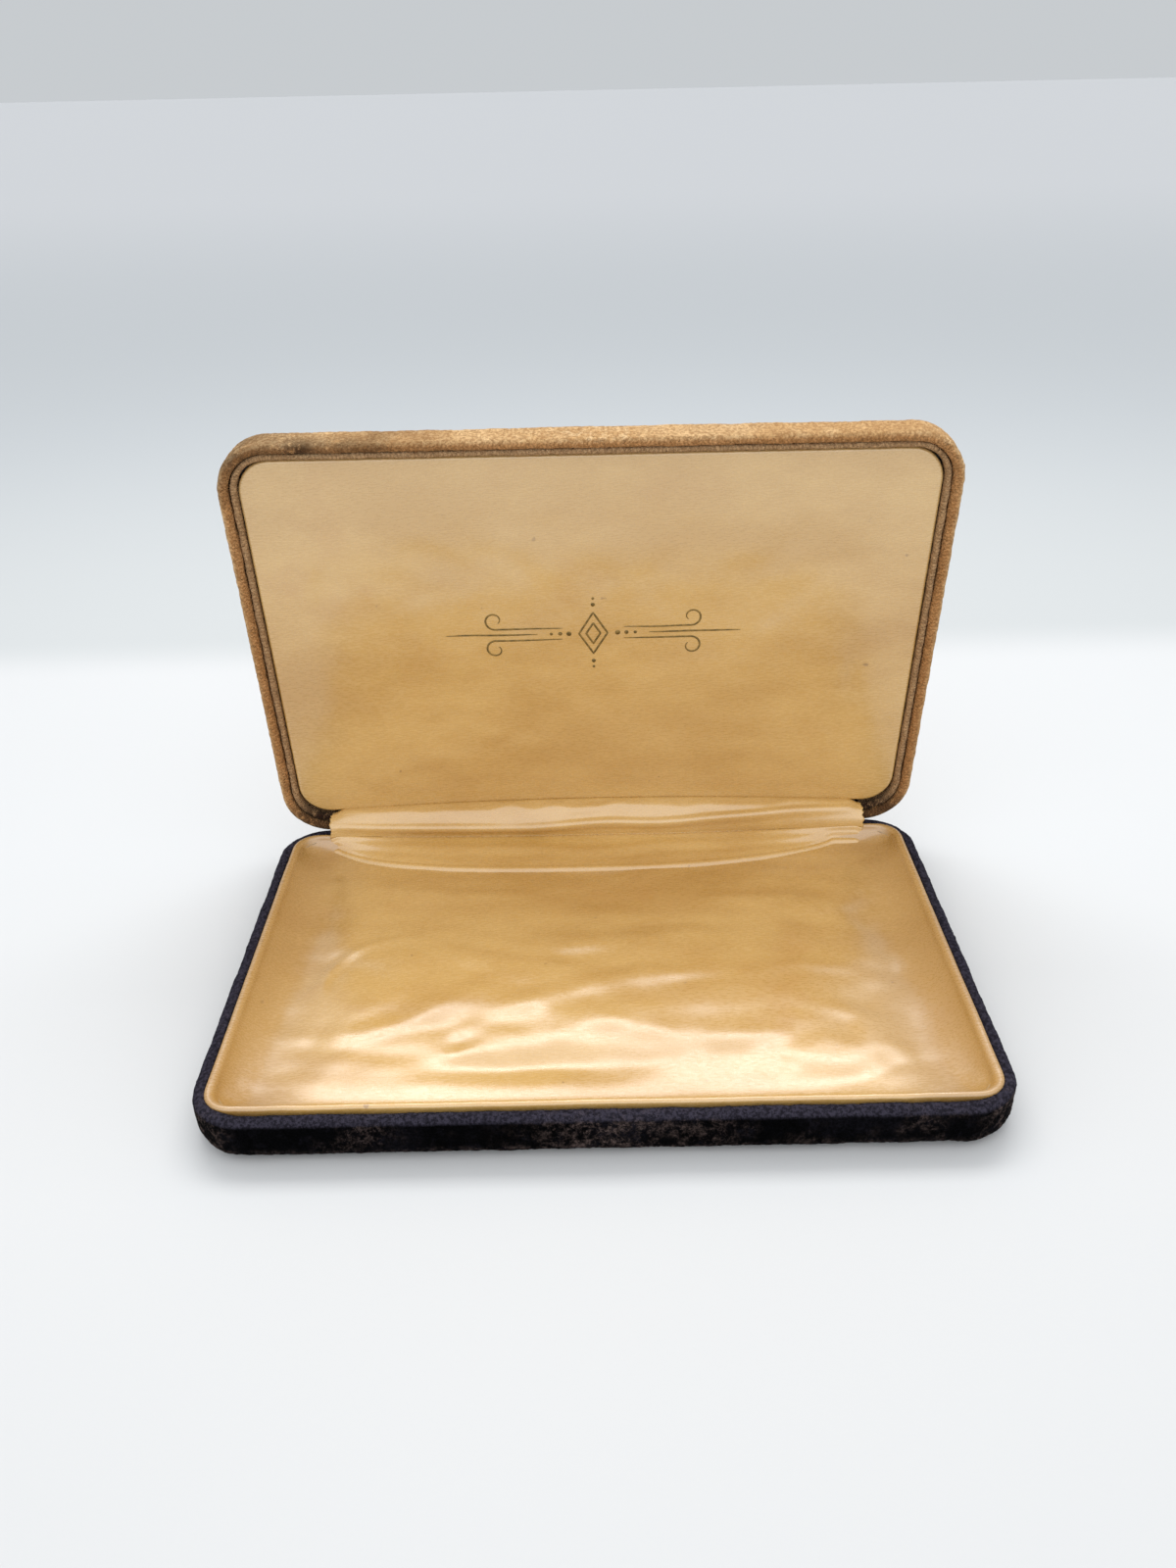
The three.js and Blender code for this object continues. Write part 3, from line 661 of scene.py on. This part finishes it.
def evened(piece, moved):
    """The cloth's movement with its finest buckling rubbed out, so that no mesh pattern shows."""
    pairs = np.empty(2 * len(piece.data.edges), np.int32)
    piece.data.edges.foreach_get("vertices", pairs)
    first, second = pairs.reshape(-1, 2).T
    shares = np.bincount(pairs, minlength=len(moved))[:, None]
    for _ in range(EVENING_PASSES):
        around = np.zeros_like(moved)
        np.add.at(around, first, moved[second])
        np.add.at(around, second, moved[first])
        moved = 0.5 * moved + 0.5 * around / np.maximum(shares, 1)
    return moved


PAD_FRONT, PAD_BACK = PAD_LOW[1], PAD_HIGH[1]
PAD_MIDDLE = (PAD_FRONT + PAD_BACK) / 2
PAD_HALF = (PAD_BACK - PAD_FRONT) / 2
PAD_FACE = PAD_LOW[2]
PAD_HEM = PAD_HIGH[2]
PAD_ROUND = 1.0
PAD_BOW = 3.0


def pad_floor(points):
    """How far the pad's face stands from its hem, towards the mouth."""
    side = PAD_HIGH[0] - PAD_ROUND - np.abs(points[:, 0])
    end = PAD_HALF - PAD_ROUND - np.abs(points[:, 1] - PAD_MIDDLE)
    full = smooth(np.minimum(side, end), 0, 16)
    height = PAD_HEM - PAD_FACE + 0.2 + 0.35 * full
    for each in LID_WRINKLES:
        height = height + wrinkle(points, *each) * full
    height += full * 0.14 * lumps(points, (40, 14), 15)
    return height + full * 0.05 * lumps(points, (14, 5), 16)


def pad_ring(points, heights):
    bead = arc((0, 0), 1, 90, 0, 9)[1:]
    drop = min(PAD_ROUND, (PAD_HEM - PAD_FACE) * 0.7)
    outset = np.concatenate([bead[:, 0] * PAD_ROUND, [PAD_ROUND, PAD_ROUND]])
    fall = np.concatenate([(1 - bead[:, 1]) * drop, [drop + 1.2, PAD_HEM - PAD_FACE]])
    level = np.maximum(heights[:, None] - fall, 0)
    return np.repeat(outset[None], len(points), axis=0), level


def lid_pad():
    shape = (2 * (PAD_HIGH[0] - PAD_ROUND), 2 * (PAD_HALF - PAD_ROUND),
             PAD_CORNER - PAD_ROUND, PAD_STEP)
    piece, inside = padded_sheet("lid_satin", shape, pad_floor, pad_ring, PAD_MIDDLE)
    settle(piece, inside, PAD_ROUND, cap=0.22, slack=0.007, seed=4)
    points = coordinates(piece) / MM
    bow = 1 - np.minimum(np.abs(points[:, 0]) / HINGE_HALF, 1) ** 2
    points[:, 1] -= PAD_BOW * bow * smooth(points[:, 1], PAD_BACK - 22, PAD_BACK)
    points[:, 2] = PAD_HEM - points[:, 2]
    set_coordinates(piece, points * MM)
    piece.data.flip_normals()
    thickened(piece, SATIN)
    place = coordinates(piece) / MM
    # Painted reflection: the pad is paler towards its free edge, where its face reflects the pale floor in
    # front.
    attribute(piece, "painted_reflection", 1 - smooth(place[:, 1], PAD_FRONT, PAD_MIDDLE + 10))
    return open_lid(piece)


# ---- gusset over the hinge ----

# The ridge is the strip's front fold. The crease is where the strip turns up over the hinge.
RIDGE_BACK = 24.3
RIDGE_SPAN = (92.0, 86.0)
RIDGE_POWER = (3.4, 2.4)
RIDGE_ROUND = 1.3
RIDGE_PROUD = 1.1
GUSSET_HALF = 86.6
GUSSET_CREASE = 4.75
CREASE_DEPTH = 0.7
GUSSET_SATIN = 0.3
GUSSET_COUNT = 170
TUCK_STEPS = 10
FACET_STEPS = 16
FOLD_STEPS = 24
FACET_HOLLOW = 0.55
STREAK = 0.16
ROLL = 1.8
ROLL_WIDTH = 0.10
PINCH = 5
SINK = 0.9
FRAY = 0.5


def ridge_place(x):
    """Where the front fold of the gusset runs: a shallow smile from one end of the hinge to the other."""
    lift = (np.abs(x) / np.where(x < 0, *RIDGE_SPAN)) ** np.where(x < 0, *RIDGE_POWER)
    y = np.minimum(BACK - RIDGE_BACK + 21.5 * lift, AXIS_Y - GUSSET_CREASE - 2.2)
    proud = RIDGE_PROUD * (1 - np.minimum(lift, 1)) + 0.12
    return y, plain_floor(np.stack([x, y], axis=-1)) + proud


def gusset_section(x):
    """Points (y, z) of the strip of satin at x, from under its front fold to the lid's pad."""
    ridge_y, ridge_z = (float(value[0]) for value in ridge_place(np.array([x])))
    near = np.array([[x, 0.0]])
    slack = float(lumps(near, 23, 41)[0])
    fine = float(lumps(near, 7, 42)[0])
    end = abs(x) / GUSSET_HALF
    tuck = arc((ridge_y, ridge_z - RIDGE_ROUND), RIDGE_ROUND, 235, 60, TUCK_STEPS)
    tuck[0] += (-0.6, -0.9)
    crease_y = AXIS_Y - GUSSET_CREASE
    crease_z = AXIS_Z + 0.5 - 1.3 * (1 - end ** 2) + 0.12 * slack
    t = np.linspace(0, 1, FACET_STEPS)[1:]
    start = tuck[-1]
    facet_y = start[0] + (crease_y - start[0]) * t
    hollow = FACET_HOLLOW * np.sin(math.pi * t) * (1 - 0.6 * end)
    streak = STREAK * np.sin(2 * math.pi * (2.2 * t + 0.25 * slack)) * np.sin(math.pi * t)
    facet_z = start[1] + (crease_z - start[1]) * t - hollow + streak
    facet_z[-1] -= CREASE_DEPTH
    facet = np.stack([facet_y, facet_z], axis=-1)
    middle = 1 - min(end, 1) ** 2
    top = opened(np.array([[x, PAD_BACK + 0.2 - PAD_BOW * middle, PAD_FACE + 1.7]]))[0, 1:]
    top_y, top_z = top[0] - AXIS_Y, top[1] - AXIS_Z
    first = math.atan2(crease_z - AXIS_Z, crease_y - AXIS_Y) % (2 * math.pi)
    last = math.atan2(top_z, top_y)
    u = np.linspace(0, 1, FOLD_STEPS)[1:]
    angle = first + (last - first) * u
    reach_first = math.hypot(crease_y - AXIS_Y, crease_z - AXIS_Z)
    reach = reach_first + (math.hypot(top_y, top_z) - reach_first) * u ** 1.3
    drift = 0.26 + 0.22 * float(smooth(x, -30, 75)) + 0.05 * slack
    roll = ROLL * np.exp(-((u - drift) / ROLL_WIDTH) ** 2)
    second = (0.58 + 0.38 * slack) * np.exp(-((u - 0.72 + 0.08 * fine) / 0.09) ** 2)
    folds = (roll + second + 0.10 * fine * np.sin(9 * u)) * np.sin(math.pi * u) ** 0.5
    reach = reach + folds * (1 - 0.75 * end ** 4)
    pinched = float(smooth(abs(x), GUSSET_HALF - PINCH, GUSSET_HALF))
    reach = reach + (np.minimum(reach, reach_first + 0.2) - reach) * pinched * np.sin(math.pi * u / 2)
    fold = np.stack([AXIS_Y + reach * np.cos(angle), AXIS_Z + reach * np.sin(angle)], axis=-1)
    return np.concatenate([tuck, facet, fold])


def gusset():
    xs = np.linspace(-GUSSET_HALF, GUSSET_HALF, GUSSET_COUNT)
    sections = [gusset_section(x) for x in xs]
    rows = np.stack([np.column_stack([np.full(len(s), x), s]) for x, s in zip(xs, sections)])
    sunk = smooth(np.abs(xs), GUSSET_HALF - 2.5, GUSSET_HALF)[:, None]
    lining_side = rows[:, :, 1] <= AXIS_Y - GUSSET_CREASE + 0.01
    rows[:, :, 2] -= SINK * sunk * lining_side
    frayed = FRAY * np.random.default_rng(7).uniform(-1, 1, (2, rows.shape[1]))
    rows[0, :, 0] += frayed[0]
    rows[-1, :, 0] += frayed[1]
    count, width = rows.shape[:2]
    piece = make_object("hinge_satin_gusset", rows.reshape(-1, 3), strip_faces(count, width, False))
    piece.data.flip_normals()
    thickened(piece, GUSSET_SATIN)
    cloth_length = np.linalg.norm(np.diff(sections[count // 2], axis=0), axis=1).sum()
    return piece, cloth_length


# ---- stamped ornament ----

STROKE = 0.55
STAMP_LIFT = 0.05
STAMP_MIDDLE = -6.0
SCROLL = 3.0
LOZENGE = (4.2, 7.0)
RULE_START = 9.0
RULE_RUN = 20.0
RULE_RISE = 1.9


def stroke(path, width=STROKE, taper=False, closed=False):
    """A flat band along a path of (x, y) points. Its ends run to a point when taper is true."""
    path = np.asarray(path, float)
    ahead = np.roll(path, -1, axis=0) if closed else np.vstack([path[1:], 2 * path[-1] - path[-2]])
    behind = np.roll(path, 1, axis=0) if closed else np.vstack([2 * path[0] - path[1], path[:-1]])
    along = ahead - behind
    along /= np.maximum(np.linalg.norm(along, axis=1), 1e-6)[:, None]
    side = np.stack([-along[:, 1], along[:, 0]], axis=-1)
    t = np.linspace(0, 1, len(path))
    half = width / 2 * (np.sin(math.pi * t) ** 0.45 * 0.85 + 0.15 if taper else np.ones(len(path)))
    band = np.stack([path - side * half[:, None], path + side * half[:, None]], axis=1)
    return band, closed


def ornament_strokes():
    """A generic divider: a lozenge in the middle, beads beside it, scrolls, and fine rules."""
    angles = np.linspace(0, 2 * math.pi, 5)[:-1]

    def lozenge(half_width, half_height):
        corners = np.stack([half_width * np.cos(angles), half_height * np.sin(angles)], axis=-1)
        steps = np.linspace(0, 1, 12, endpoint=False)[:, None]
        sides = [a + (b - a) * steps for a, b in zip(corners, np.roll(corners, -1, axis=0))]
        return np.concatenate(sides)

    def disc(x, y, radius):
        turn = np.linspace(0, 2 * math.pi, 20, endpoint=False)
        ring = np.stack([x + radius / 2 * np.cos(turn), y + radius / 2 * np.sin(turn)], axis=-1)
        return stroke(ring, width=radius, closed=True)

    strokes = [stroke(lozenge(*LOZENGE), closed=True),
               stroke(lozenge(LOZENGE[0] / 2, LOZENGE[1] / 2), closed=True)]
    for side in (-1, 1):
        for i, radius in enumerate((0.75, 0.6, 0.45)):
            strokes.append(disc(side * (7.2 + 2.6 * i), 0, radius))
        run = np.linspace(0, 1, 40)
        xs = side * (16.5 + 27.0 * run)
        strokes.append(stroke(np.stack([xs, np.zeros(40)], axis=-1), taper=True))
        turn = np.linspace(-0.5, 1.25, 50)[1:] * math.pi
        radius = SCROLL * (1 - 0.55 * (turn / math.pi + 0.5) / 1.75)
        rule = np.stack([RULE_START + RULE_RUN * run, np.full(40, RULE_RISE)], axis=-1)
        middle = RULE_START + RULE_RUN, RULE_RISE + SCROLL
        curl = middle + radius[:, None] * np.stack([np.cos(turn), np.sin(turn)], axis=-1)
        scroll = np.concatenate([rule, curl]) * (side, 1)
        strokes.append(stroke(scroll, taper=True))
        strokes.append(stroke(scroll * (1, -1), taper=True))
    for drop, radius in ((9.6, 0.6), (-9.6, 0.6), (11.6, 0.4), (-11.6, 0.4)):
        strokes.append(disc(0, drop, radius))
    return strokes


def ornament(pad):
    """The strokes, laid on the pad's face."""
    shut = turned(coordinates(pad) / MM, OPEN_ANGLE)
    faces = [tuple(face.vertices) for face in pad.data.polygons]
    tree = BVHTree.FromPolygons(shut.tolist(), faces)
    points, quads = [], []
    for band, closed in ornament_strokes():
        start = len(points)
        count = len(band)
        for left, right in band:
            for x, y in (left, right):
                hit = tree.ray_cast(Vector((x, y + STAMP_MIDDLE, LID_RIM - 5)), Vector((0, 0, 1)))[0]
                points.append((x, y + STAMP_MIDDLE, hit.z - STAMP_LIFT))
        for i in range(count if closed else count - 1):
            a, b = start + 2 * i, start + 2 * ((i + 1) % count)
            quads.append((a, b, b + 1, a + 1))
    piece = make_object("lid_stamped_ornament", points, quads)
    add_modifier(piece, "SOLIDIFY", thickness=0.04 * MM, offset=0)
    apply_modifiers(piece)
    return open_lid(piece)


# ---- materials ----

class Painter:
    """Builds one material's nodes."""

    def __init__(self, name, **settings):
        self.material = bpy.data.materials.new(name)
        self.material.use_nodes = True
        self.nodes = self.material.node_tree.nodes
        self.links = self.material.node_tree.links
        self.shader = self.nodes["Principled BSDF"]
        for socket, value in settings.items():
            self.shader.inputs[socket.replace("_", " ")].default_value = value
        self.place = self.new("TexCoord").outputs["Object"]

    def new(self, kind):
        return self.nodes.new("ShaderNode" + kind)

    def link(self, source, target):
        self.links.new(source, target)

    def scaled(self, scale):
        node = self.new("Mapping")
        node.inputs["Scale"].default_value = scale
        self.link(self.place, node.inputs["Vector"])
        return node.outputs["Vector"]

    def noise(self, scale, detail=3.0, roughness=0.55, vector=None):
        node = self.new("TexNoise")
        node.inputs["Scale"].default_value = scale
        node.inputs["Detail"].default_value = detail
        node.inputs["Roughness"].default_value = roughness
        self.link(self.place if vector is None else vector, node.inputs["Vector"])
        return node.outputs["Fac"]

    def value(self, name):
        node = self.new("Attribute")
        node.attribute_name = name
        return node.outputs["Fac"]

    def axis(self, letter):
        node = self.new("SeparateXYZ")
        self.link(self.place, node.inputs[0])
        return node.outputs[letter]

    def math(self, operation, first, second=0.0):
        node = self.new("Math")
        node.operation = operation
        for socket, value in zip(node.inputs, (first, second)):
            if isinstance(value, (int, float)):
                socket.default_value = value
            else:
                self.link(value, socket)
        return node.outputs[0]

    def times(self, first, second):
        return self.math("MULTIPLY", first, second)

    def step(self, value, low, high, start=0.0, end=1.0):
        node = self.new("MapRange")
        node.interpolation_type = "SMOOTHSTEP"
        for socket, number in zip(("From Min", "From Max", "To Min", "To Max"), (low, high, start, end)):
            node.inputs[socket].default_value = number
        self.link(value, node.inputs["Value"])
        return node.outputs["Result"]

    def mix(self, factor, first, second, blend="MIX"):
        node = self.new("Mix")
        node.data_type = "RGBA"
        node.blend_type = blend
        for socket, value in zip((node.inputs[0], node.inputs[6], node.inputs[7]),
                                 (factor, first, second)):
            if isinstance(value, (int, float)):
                socket.default_value = value
            elif isinstance(value, tuple):
                socket.default_value = (*value, 1.0)
            else:
                self.link(value, socket)
        return node.outputs[2]

    def bump(self, height, distance, strength=1.0, under=None):
        node = self.new("Bump")
        node.inputs["Strength"].default_value = strength
        node.inputs["Distance"].default_value = distance
        self.link(height, node.inputs["Height"])
        if under is not None:
            self.link(under, node.inputs["Normal"])
        return node.outputs["Normal"]

    def finish(self, colour=None, roughness=None, normal=None):
        for socket, source in (("Base Color", colour), ("Roughness", roughness), ("Normal", normal)):
            if source is not None:
                self.link(source, self.shader.inputs[socket])
        return self.material


def srgb(red, green, blue):
    """A colour given as 0 to 255 on screen, as linear light."""
    def linear(value):
        value /= 255
        return value / 12.92 if value <= 0.04045 else ((value + 0.055) / 1.055) ** 2.4
    return linear(red), linear(green), linear(blue)


def satin(name):
    p = Painter(name, Roughness=0.33, IOR=2.1)
    stains = p.noise(1.0, 4, 0.6, p.scaled((16, 34, 34)))
    weft = p.noise(1.0, 3, 0.6, p.scaled((480, 2600, 2600)))
    slub = p.noise(1.0, 3, 0.6, p.scaled((60, 620, 620)))
    broad = p.noise(9, 2, 0.5)
    colour = p.mix(p.step(stains, 0.34, 0.66), srgb(203, 163, 92), srgb(184, 140, 66))
    colour = p.mix(p.step(broad, 0.4, 0.7, 0, 0.35), colour, srgb(206, 171, 110))
    colour = p.mix(p.step(weft, 0.3, 0.7, 0, 0.12), colour, srgb(226, 198, 146))
    blotch = p.step(p.noise(30, 4, 0.6), 0.58, 0.74, 0, 0.28)
    colour = p.mix(blotch, colour, srgb(178, 126, 60))
    specks = p.step(p.noise(330, 1, 0.3), 0.80, 0.84, 0, 0.6)
    colour = p.mix(specks, colour, srgb(120, 82, 38))
    # A darker tone, with painted shade towards the lining's sides.
    colour = p.mix(p.times(p.value("tone_and_side_shade"), 0.62), colour, srgb(150, 110, 58))
    # Painted reflection: paler towards the pad's free edge.
    colour = p.mix(p.times(p.value("painted_reflection"), 0.28), colour, srgb(214, 192, 150))
    rough = p.math("ADD", p.step(weft, 0.3, 0.7, 0.20, 0.32), p.step(stains, 0.4, 0.8, 0, 0.06))
    normal = p.bump(weft, 0.00003, 0.6)
    normal = p.bump(slub, 0.00005, 0.2, normal)
    normal = p.bump(p.noise(55, 1, 0.4, p.scaled((0.35, 1, 1))), 0.0008, 0.3, normal)
    return p.finish(colour, rough, normal)


def velvet(name, colours, rim_low, rim_high, rim_highlight_share, patchy, sheen, seed):
    """Colours: deep in the pile, in shade, usual, pale (also a painted highlight along the rolled rim),
    worn, and on the turned-in side.
    """
    deep, shade, middle, pale, worn, inner = (srgb(*colour) for colour in colours)
    p = Painter(name, Roughness=0.95, Sheen_Weight=sheen, Sheen_Roughness=0.4,
                Specular_IOR_Level=0.03)
    p.shader.inputs["Sheen Tint"].default_value = (*pale, 1.0)
    crushed = p.noise(70 + seed, 4, 0.65)
    patches = p.noise(210 + seed, 4, 0.7)
    grain = p.noise(1100, 3, 0.7)
    fuzz = p.noise(2600, 2, 0.7)
    colour = p.mix(p.step(crushed, 0.30, 0.68), shade, middle)
    colour = p.mix(p.step(patches, 0.5, 0.72, 0, patchy), colour, pale)
    faded = p.noise(24 + seed, 3, 0.6)
    colour = p.mix(p.step(faded, 0.46, 0.64, 0, patchy), colour, pale)
    rubbed = p.math("MAXIMUM", p.value("worn"), p.step(p.noise(42 + seed, 3, 0.6), 0.50, 0.66, 0, 0.5))
    scuffed = p.times(rubbed, p.step(p.noise(380, 6, 0.85), 0.47, 0.60))
    colour = p.mix(scuffed, colour, worn)
    across, along = p.value("across"), p.value("along")
    # Painted highlight: the band over the rolled rim is painted paler, where the rim catches the light.
    rim = p.times(p.step(across, rim_low - 1.2, rim_low),
                 p.step(across, rim_high, rim_high + 1.5, 1, 0))
    colour = p.mix(p.times(rim, rim_highlight_share), colour, pale)
    # Pile painted darker in patches: at the lid's hinge corners and along its free edge on the left.
    dark = p.times(p.value("darker_pile"), p.step(p.noise(300, 5, 0.8), 0.30, 0.50))
    inside = p.step(across, rim_high - 0.6, rim_high + 1.0)
    chevron = p.math("ABSOLUTE", p.math("SUBTRACT", p.math("FRACT", p.math("DIVIDE", across, 1.6)), 0.5))
    rib = p.math("SINE", p.times(p.math("ADD", along, p.times(chevron, 1.1)), 5.7))
    ribbed = p.times(rib, inside)
    colour = p.mix(p.times(inside, 0.75), colour, inner)
    colour = p.mix(p.step(ribbed, 0.1, 0.9, 0, 0.45), colour, deep)
    colour = p.mix(p.step(grain, 0.40, 0.60, 0, 0.65), colour, deep)
    colour = p.mix(p.step(fuzz, 0.56, 0.74, 0, patchy * 0.7), colour, pale)
    colour = p.mix(dark, colour, srgb(44, 28, 22))
    normal = p.bump(fuzz, 0.0005, 0.9)
    normal = p.bump(ribbed, 0.00025, 0.6, normal)
    normal = p.bump(grain, 0.0008, 0.8, normal)
    normal = p.bump(patches, 0.0012, 0.5, normal)
    return p.finish(colour, None, normal)


def metal(name, colour, dull, roughness, grain):
    p = Painter(name, Metallic=1.0, Roughness=roughness)
    worn = p.noise(160, 4, 0.6)
    brushed = p.noise(1.0, 3, 0.6, p.scaled(grain))
    shade = p.mix(p.step(worn, 0.4, 0.7), colour, dull)
    rough = p.step(brushed, 0.2, 0.8, roughness - 0.1, roughness + 0.15)
    return p.finish(shade, rough, p.bump(brushed, 0.00004, 0.6))


def fibre(name, colour, shade, scale, depth):
    p = Painter(name, Roughness=0.95, Sheen_Weight=0.2)
    strands = p.noise(1.0, 5, 0.7, p.scaled((scale, scale * 0.4, scale)))
    paint = p.mix(p.step(strands, 0.35, 0.7), colour, shade)
    return p.finish(paint, None, p.bump(strands, depth, 0.8))


def stamping(name):
    p = Painter(name, Roughness=0.5, Metallic=0.3)
    worn = p.noise(700, 3, 0.6)
    return p.finish(p.mix(p.step(worn, 0.35, 0.65), srgb(96, 78, 34), srgb(142, 114, 58)),
                    p.step(worn, 0.3, 0.7, 0.4, 0.65), p.bump(worn, 0.00004, 0.5))


def shaded_floor_paint(name):
    """Pale paper with painted shade: brightest round the case, a soft step down into painted shade behind
    it, greyer far away.
    """
    p = Painter(name, Roughness=0.6)
    y = p.axis("Y")
    drift = p.noise(3, 2, 0.5)
    near = p.mix(p.step(drift, 0.3, 0.7), srgb(201, 203, 205), srgb(199, 201, 203))
    # Painted shade: darker behind the case, standing in for the light falling off towards the backdrop.
    behind = p.mix(p.step(y, 0.25, 0.7), srgb(184, 188, 190), srgb(180, 185, 189))
    far = p.mix(p.step(y, 0.7, 2.8), behind, srgb(193, 196, 200))
    return p.finish(p.mix(p.step(y, 0.215, 0.26), near, far), None,
                    p.bump(p.noise(900, 2, 0.5), 0.0002, 0.1))


def paint(pieces, material):
    for piece in pieces:
        piece.data.materials.clear()
        piece.data.materials.append(material)


# ---- the object ----

base_cover = velvet_cover("base_velvet", RIM, BASE_BEAD, RIM, 1, 11)
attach(base_cover, "base")
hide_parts("base_velvet_cover")

lid_cover = open_lid(velvet_cover("lid_velvet", LID_DEPTH, LID_BEAD, LID_RIM, -1, 21))
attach(lid_cover, "lid")
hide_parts("lid_velvet_cover")

inner_lip = lid_lip()
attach(inner_lip, "lid")
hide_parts("lid_velvet_lip")

lining = base_lining()
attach(lining, "base")
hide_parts("base_satin_lining")

pad = lid_pad()
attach(pad, "lid")
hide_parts("lid_satin_pad")

stamp = ornament(pad)
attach(stamp, "lid")

bridge, bridge_length = gusset()
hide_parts("hinge_gusset")
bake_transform(bridge)

satin_paint = satin("gold satin")
paint([lining, pad, bridge], satin_paint)
# Each list: deep, shade, usual, pale, worn, inner. The pale colour is also the painted highlight along the
# rolled rim.
navy = [(0, 0, 0), (0, 0, 0), (4, 4, 6), (64, 61, 74), (94, 80, 76), (8, 8, 14)]
tan = [(142, 98, 56), (172, 128, 80), (202, 159, 107), (236, 202, 154), (236, 206, 162), (198, 142, 90)]
taupe = [(140, 106, 74), (166, 132, 96), (198, 166, 126), (212, 184, 146), (150, 120, 92), (190, 152, 110)]
paint([base_cover], velvet("navy velvet", navy, 1.2, 4.3, 0.80, 0.10, 0.0, 0))
paint([lid_cover], velvet("tan velvet", tan, -6.0, 1.5, 0.25, 0.5, 0.2, 3))
paint([inner_lip], velvet("taupe velvet", taupe, 0.2, 0.8, 0.2, 0.5, 0.2, 7))
paint([stamp], stamping("stamped gilt"))

tinplate = metal("tinplate", srgb(176, 176, 172), srgb(140, 138, 132), 0.45, (90, 2500, 900))
spring_steel = metal("spring steel", srgb(132, 134, 140), srgb(92, 88, 86), 0.35, (1800, 200, 200))
brass = metal("hinge brass", srgb(196, 162, 96), srgb(146, 112, 62), 0.38, (60, 2200, 2200))
cotton = fibre("cotton wadding", srgb(236, 230, 216), srgb(214, 206, 190), 900, 0.0006)
card = fibre("greyboard", srgb(178, 156, 122), srgb(156, 134, 102), 420, 0.0002)
kinds = (("shell", tinplate), ("card", card), ("wadding", cotton), ("spring", spring_steel),
         ("pin", spring_steel), ("rivet", brass), ("leaf", brass))
for name, node in frame["nodes"].items():
    for word, material in kinds:
        if word in name:
            paint([node], material)


# ---- floor, light and camera ----

FLOOR_HALF = 20000.0
FLOOR_DROP = 0.05
corners = [(x * FLOOR_HALF, y * FLOOR_HALF, -FLOOR_DROP) for x, y in ((-1, -1), (1, -1), (1, 1), (-1, 1))]
floor = make_object("floor", corners, [(0, 1, 2, 3)])
paint([floor], shaded_floor_paint("pale floor with painted shade"))


LOW_SKY = (0.575, 0.602, 0.625)
HIGH_SKY = (1.5, 1.5, 1.5)
FRONT_SKY = (1.75, 1.75, 1.75)


def studio_world():
    """A pale room: dim low down behind and beside the case, bright overhead, brightest in front."""
    world = bpy.data.worlds.new("studio")
    world.use_nodes = True
    nodes, link = world.node_tree.nodes, world.node_tree.links.new

    def new(kind):
        return nodes.new("ShaderNode" + kind)

    split = new("SeparateXYZ")
    link(new("TexCoord").outputs["Generated"], split.inputs[0])

    def ramp(socket, first, last):
        node = new("ValToRGB")
        for element, (position, colour) in zip(node.color_ramp.elements, (first, last)):
            element.position = position
            element.color = (*colour, 1)
        link(socket, node.inputs[0])
        return node.outputs[0]

    height = ramp(split.outputs["Z"], (0.60, LOW_SKY), (0.88, HIGH_SKY))
    flip, both = new("Math"), new("Math")
    flip.operation = both.operation = "MULTIPLY"
    flip.inputs[1].default_value = -1
    link(split.outputs["Y"], flip.inputs[0])
    link(ramp(flip.outputs[0], (0.05, (0, 0, 0)), (0.8, (1, 1, 1))), both.inputs[0])
    link(ramp(split.outputs["Z"], (0.0, (0, 0, 0)), (0.3, (1, 1, 1))), both.inputs[1])
    mix = new("Mix")
    mix.data_type = "RGBA"
    link(both.outputs[0], mix.inputs[0])
    link(height, mix.inputs[6])
    mix.inputs[7].default_value = (*FRONT_SKY, 1)
    link(mix.outputs[2], nodes["Background"].inputs["Color"])
    return world


bpy.context.scene.world = studio_world()


def area_light(name, place, target, size, power, colour=(1, 1, 1)):
    data = bpy.data.lights.new(name, "AREA")
    data.shape = "RECTANGLE"
    data.size, data.size_y = size[0] * MM, size[1] * MM
    data.energy = power
    data.color = colour
    lamp = bpy.data.objects.new(name, data)
    lamp.location = Vector(place) * MM
    lamp.rotation_euler = (Vector(target) - Vector(place)).to_track_quat("-Z", "Y").to_euler()
    lamp.visible_camera = False
    bpy.context.scene.collection.objects.link(lamp)


area_light("overhead", (0, 335, 650), (0, -20, 10), (760, 240), 2.7, (1.0, 0.985, 0.96))

CAMERA_PLACE = (-1.8, -281.2, 227.8)
CAMERA_YAW = math.radians(-0.125)
CAMERA_PITCH = math.radians(29.92)
CAMERA_ROLL = math.radians(-1.247)
CAMERA_LENS = 28.41

ahead = Vector((math.sin(CAMERA_YAW) * math.cos(CAMERA_PITCH),
                math.cos(CAMERA_YAW) * math.cos(CAMERA_PITCH), -math.sin(CAMERA_PITCH)))
level = Vector((math.cos(CAMERA_YAW), -math.sin(CAMERA_YAW), 0))
upright = level.cross(ahead)
right = level * math.cos(CAMERA_ROLL) + upright * math.sin(CAMERA_ROLL)
up = upright * math.cos(CAMERA_ROLL) - level * math.sin(CAMERA_ROLL)
lens = bpy.data.cameras.new("camera")
lens.lens = CAMERA_LENS
lens.clip_start = 0.01
camera = bpy.data.objects.new("camera", lens)
turn = Matrix((right, up, -ahead)).transposed().to_4x4()
camera.matrix_world = Matrix.Translation(Vector(CAMERA_PLACE) * MM) @ turn
bpy.context.scene.collection.objects.link(camera)
bpy.context.scene.camera = camera
bpy.context.scene.view_settings.view_transform = "Standard"
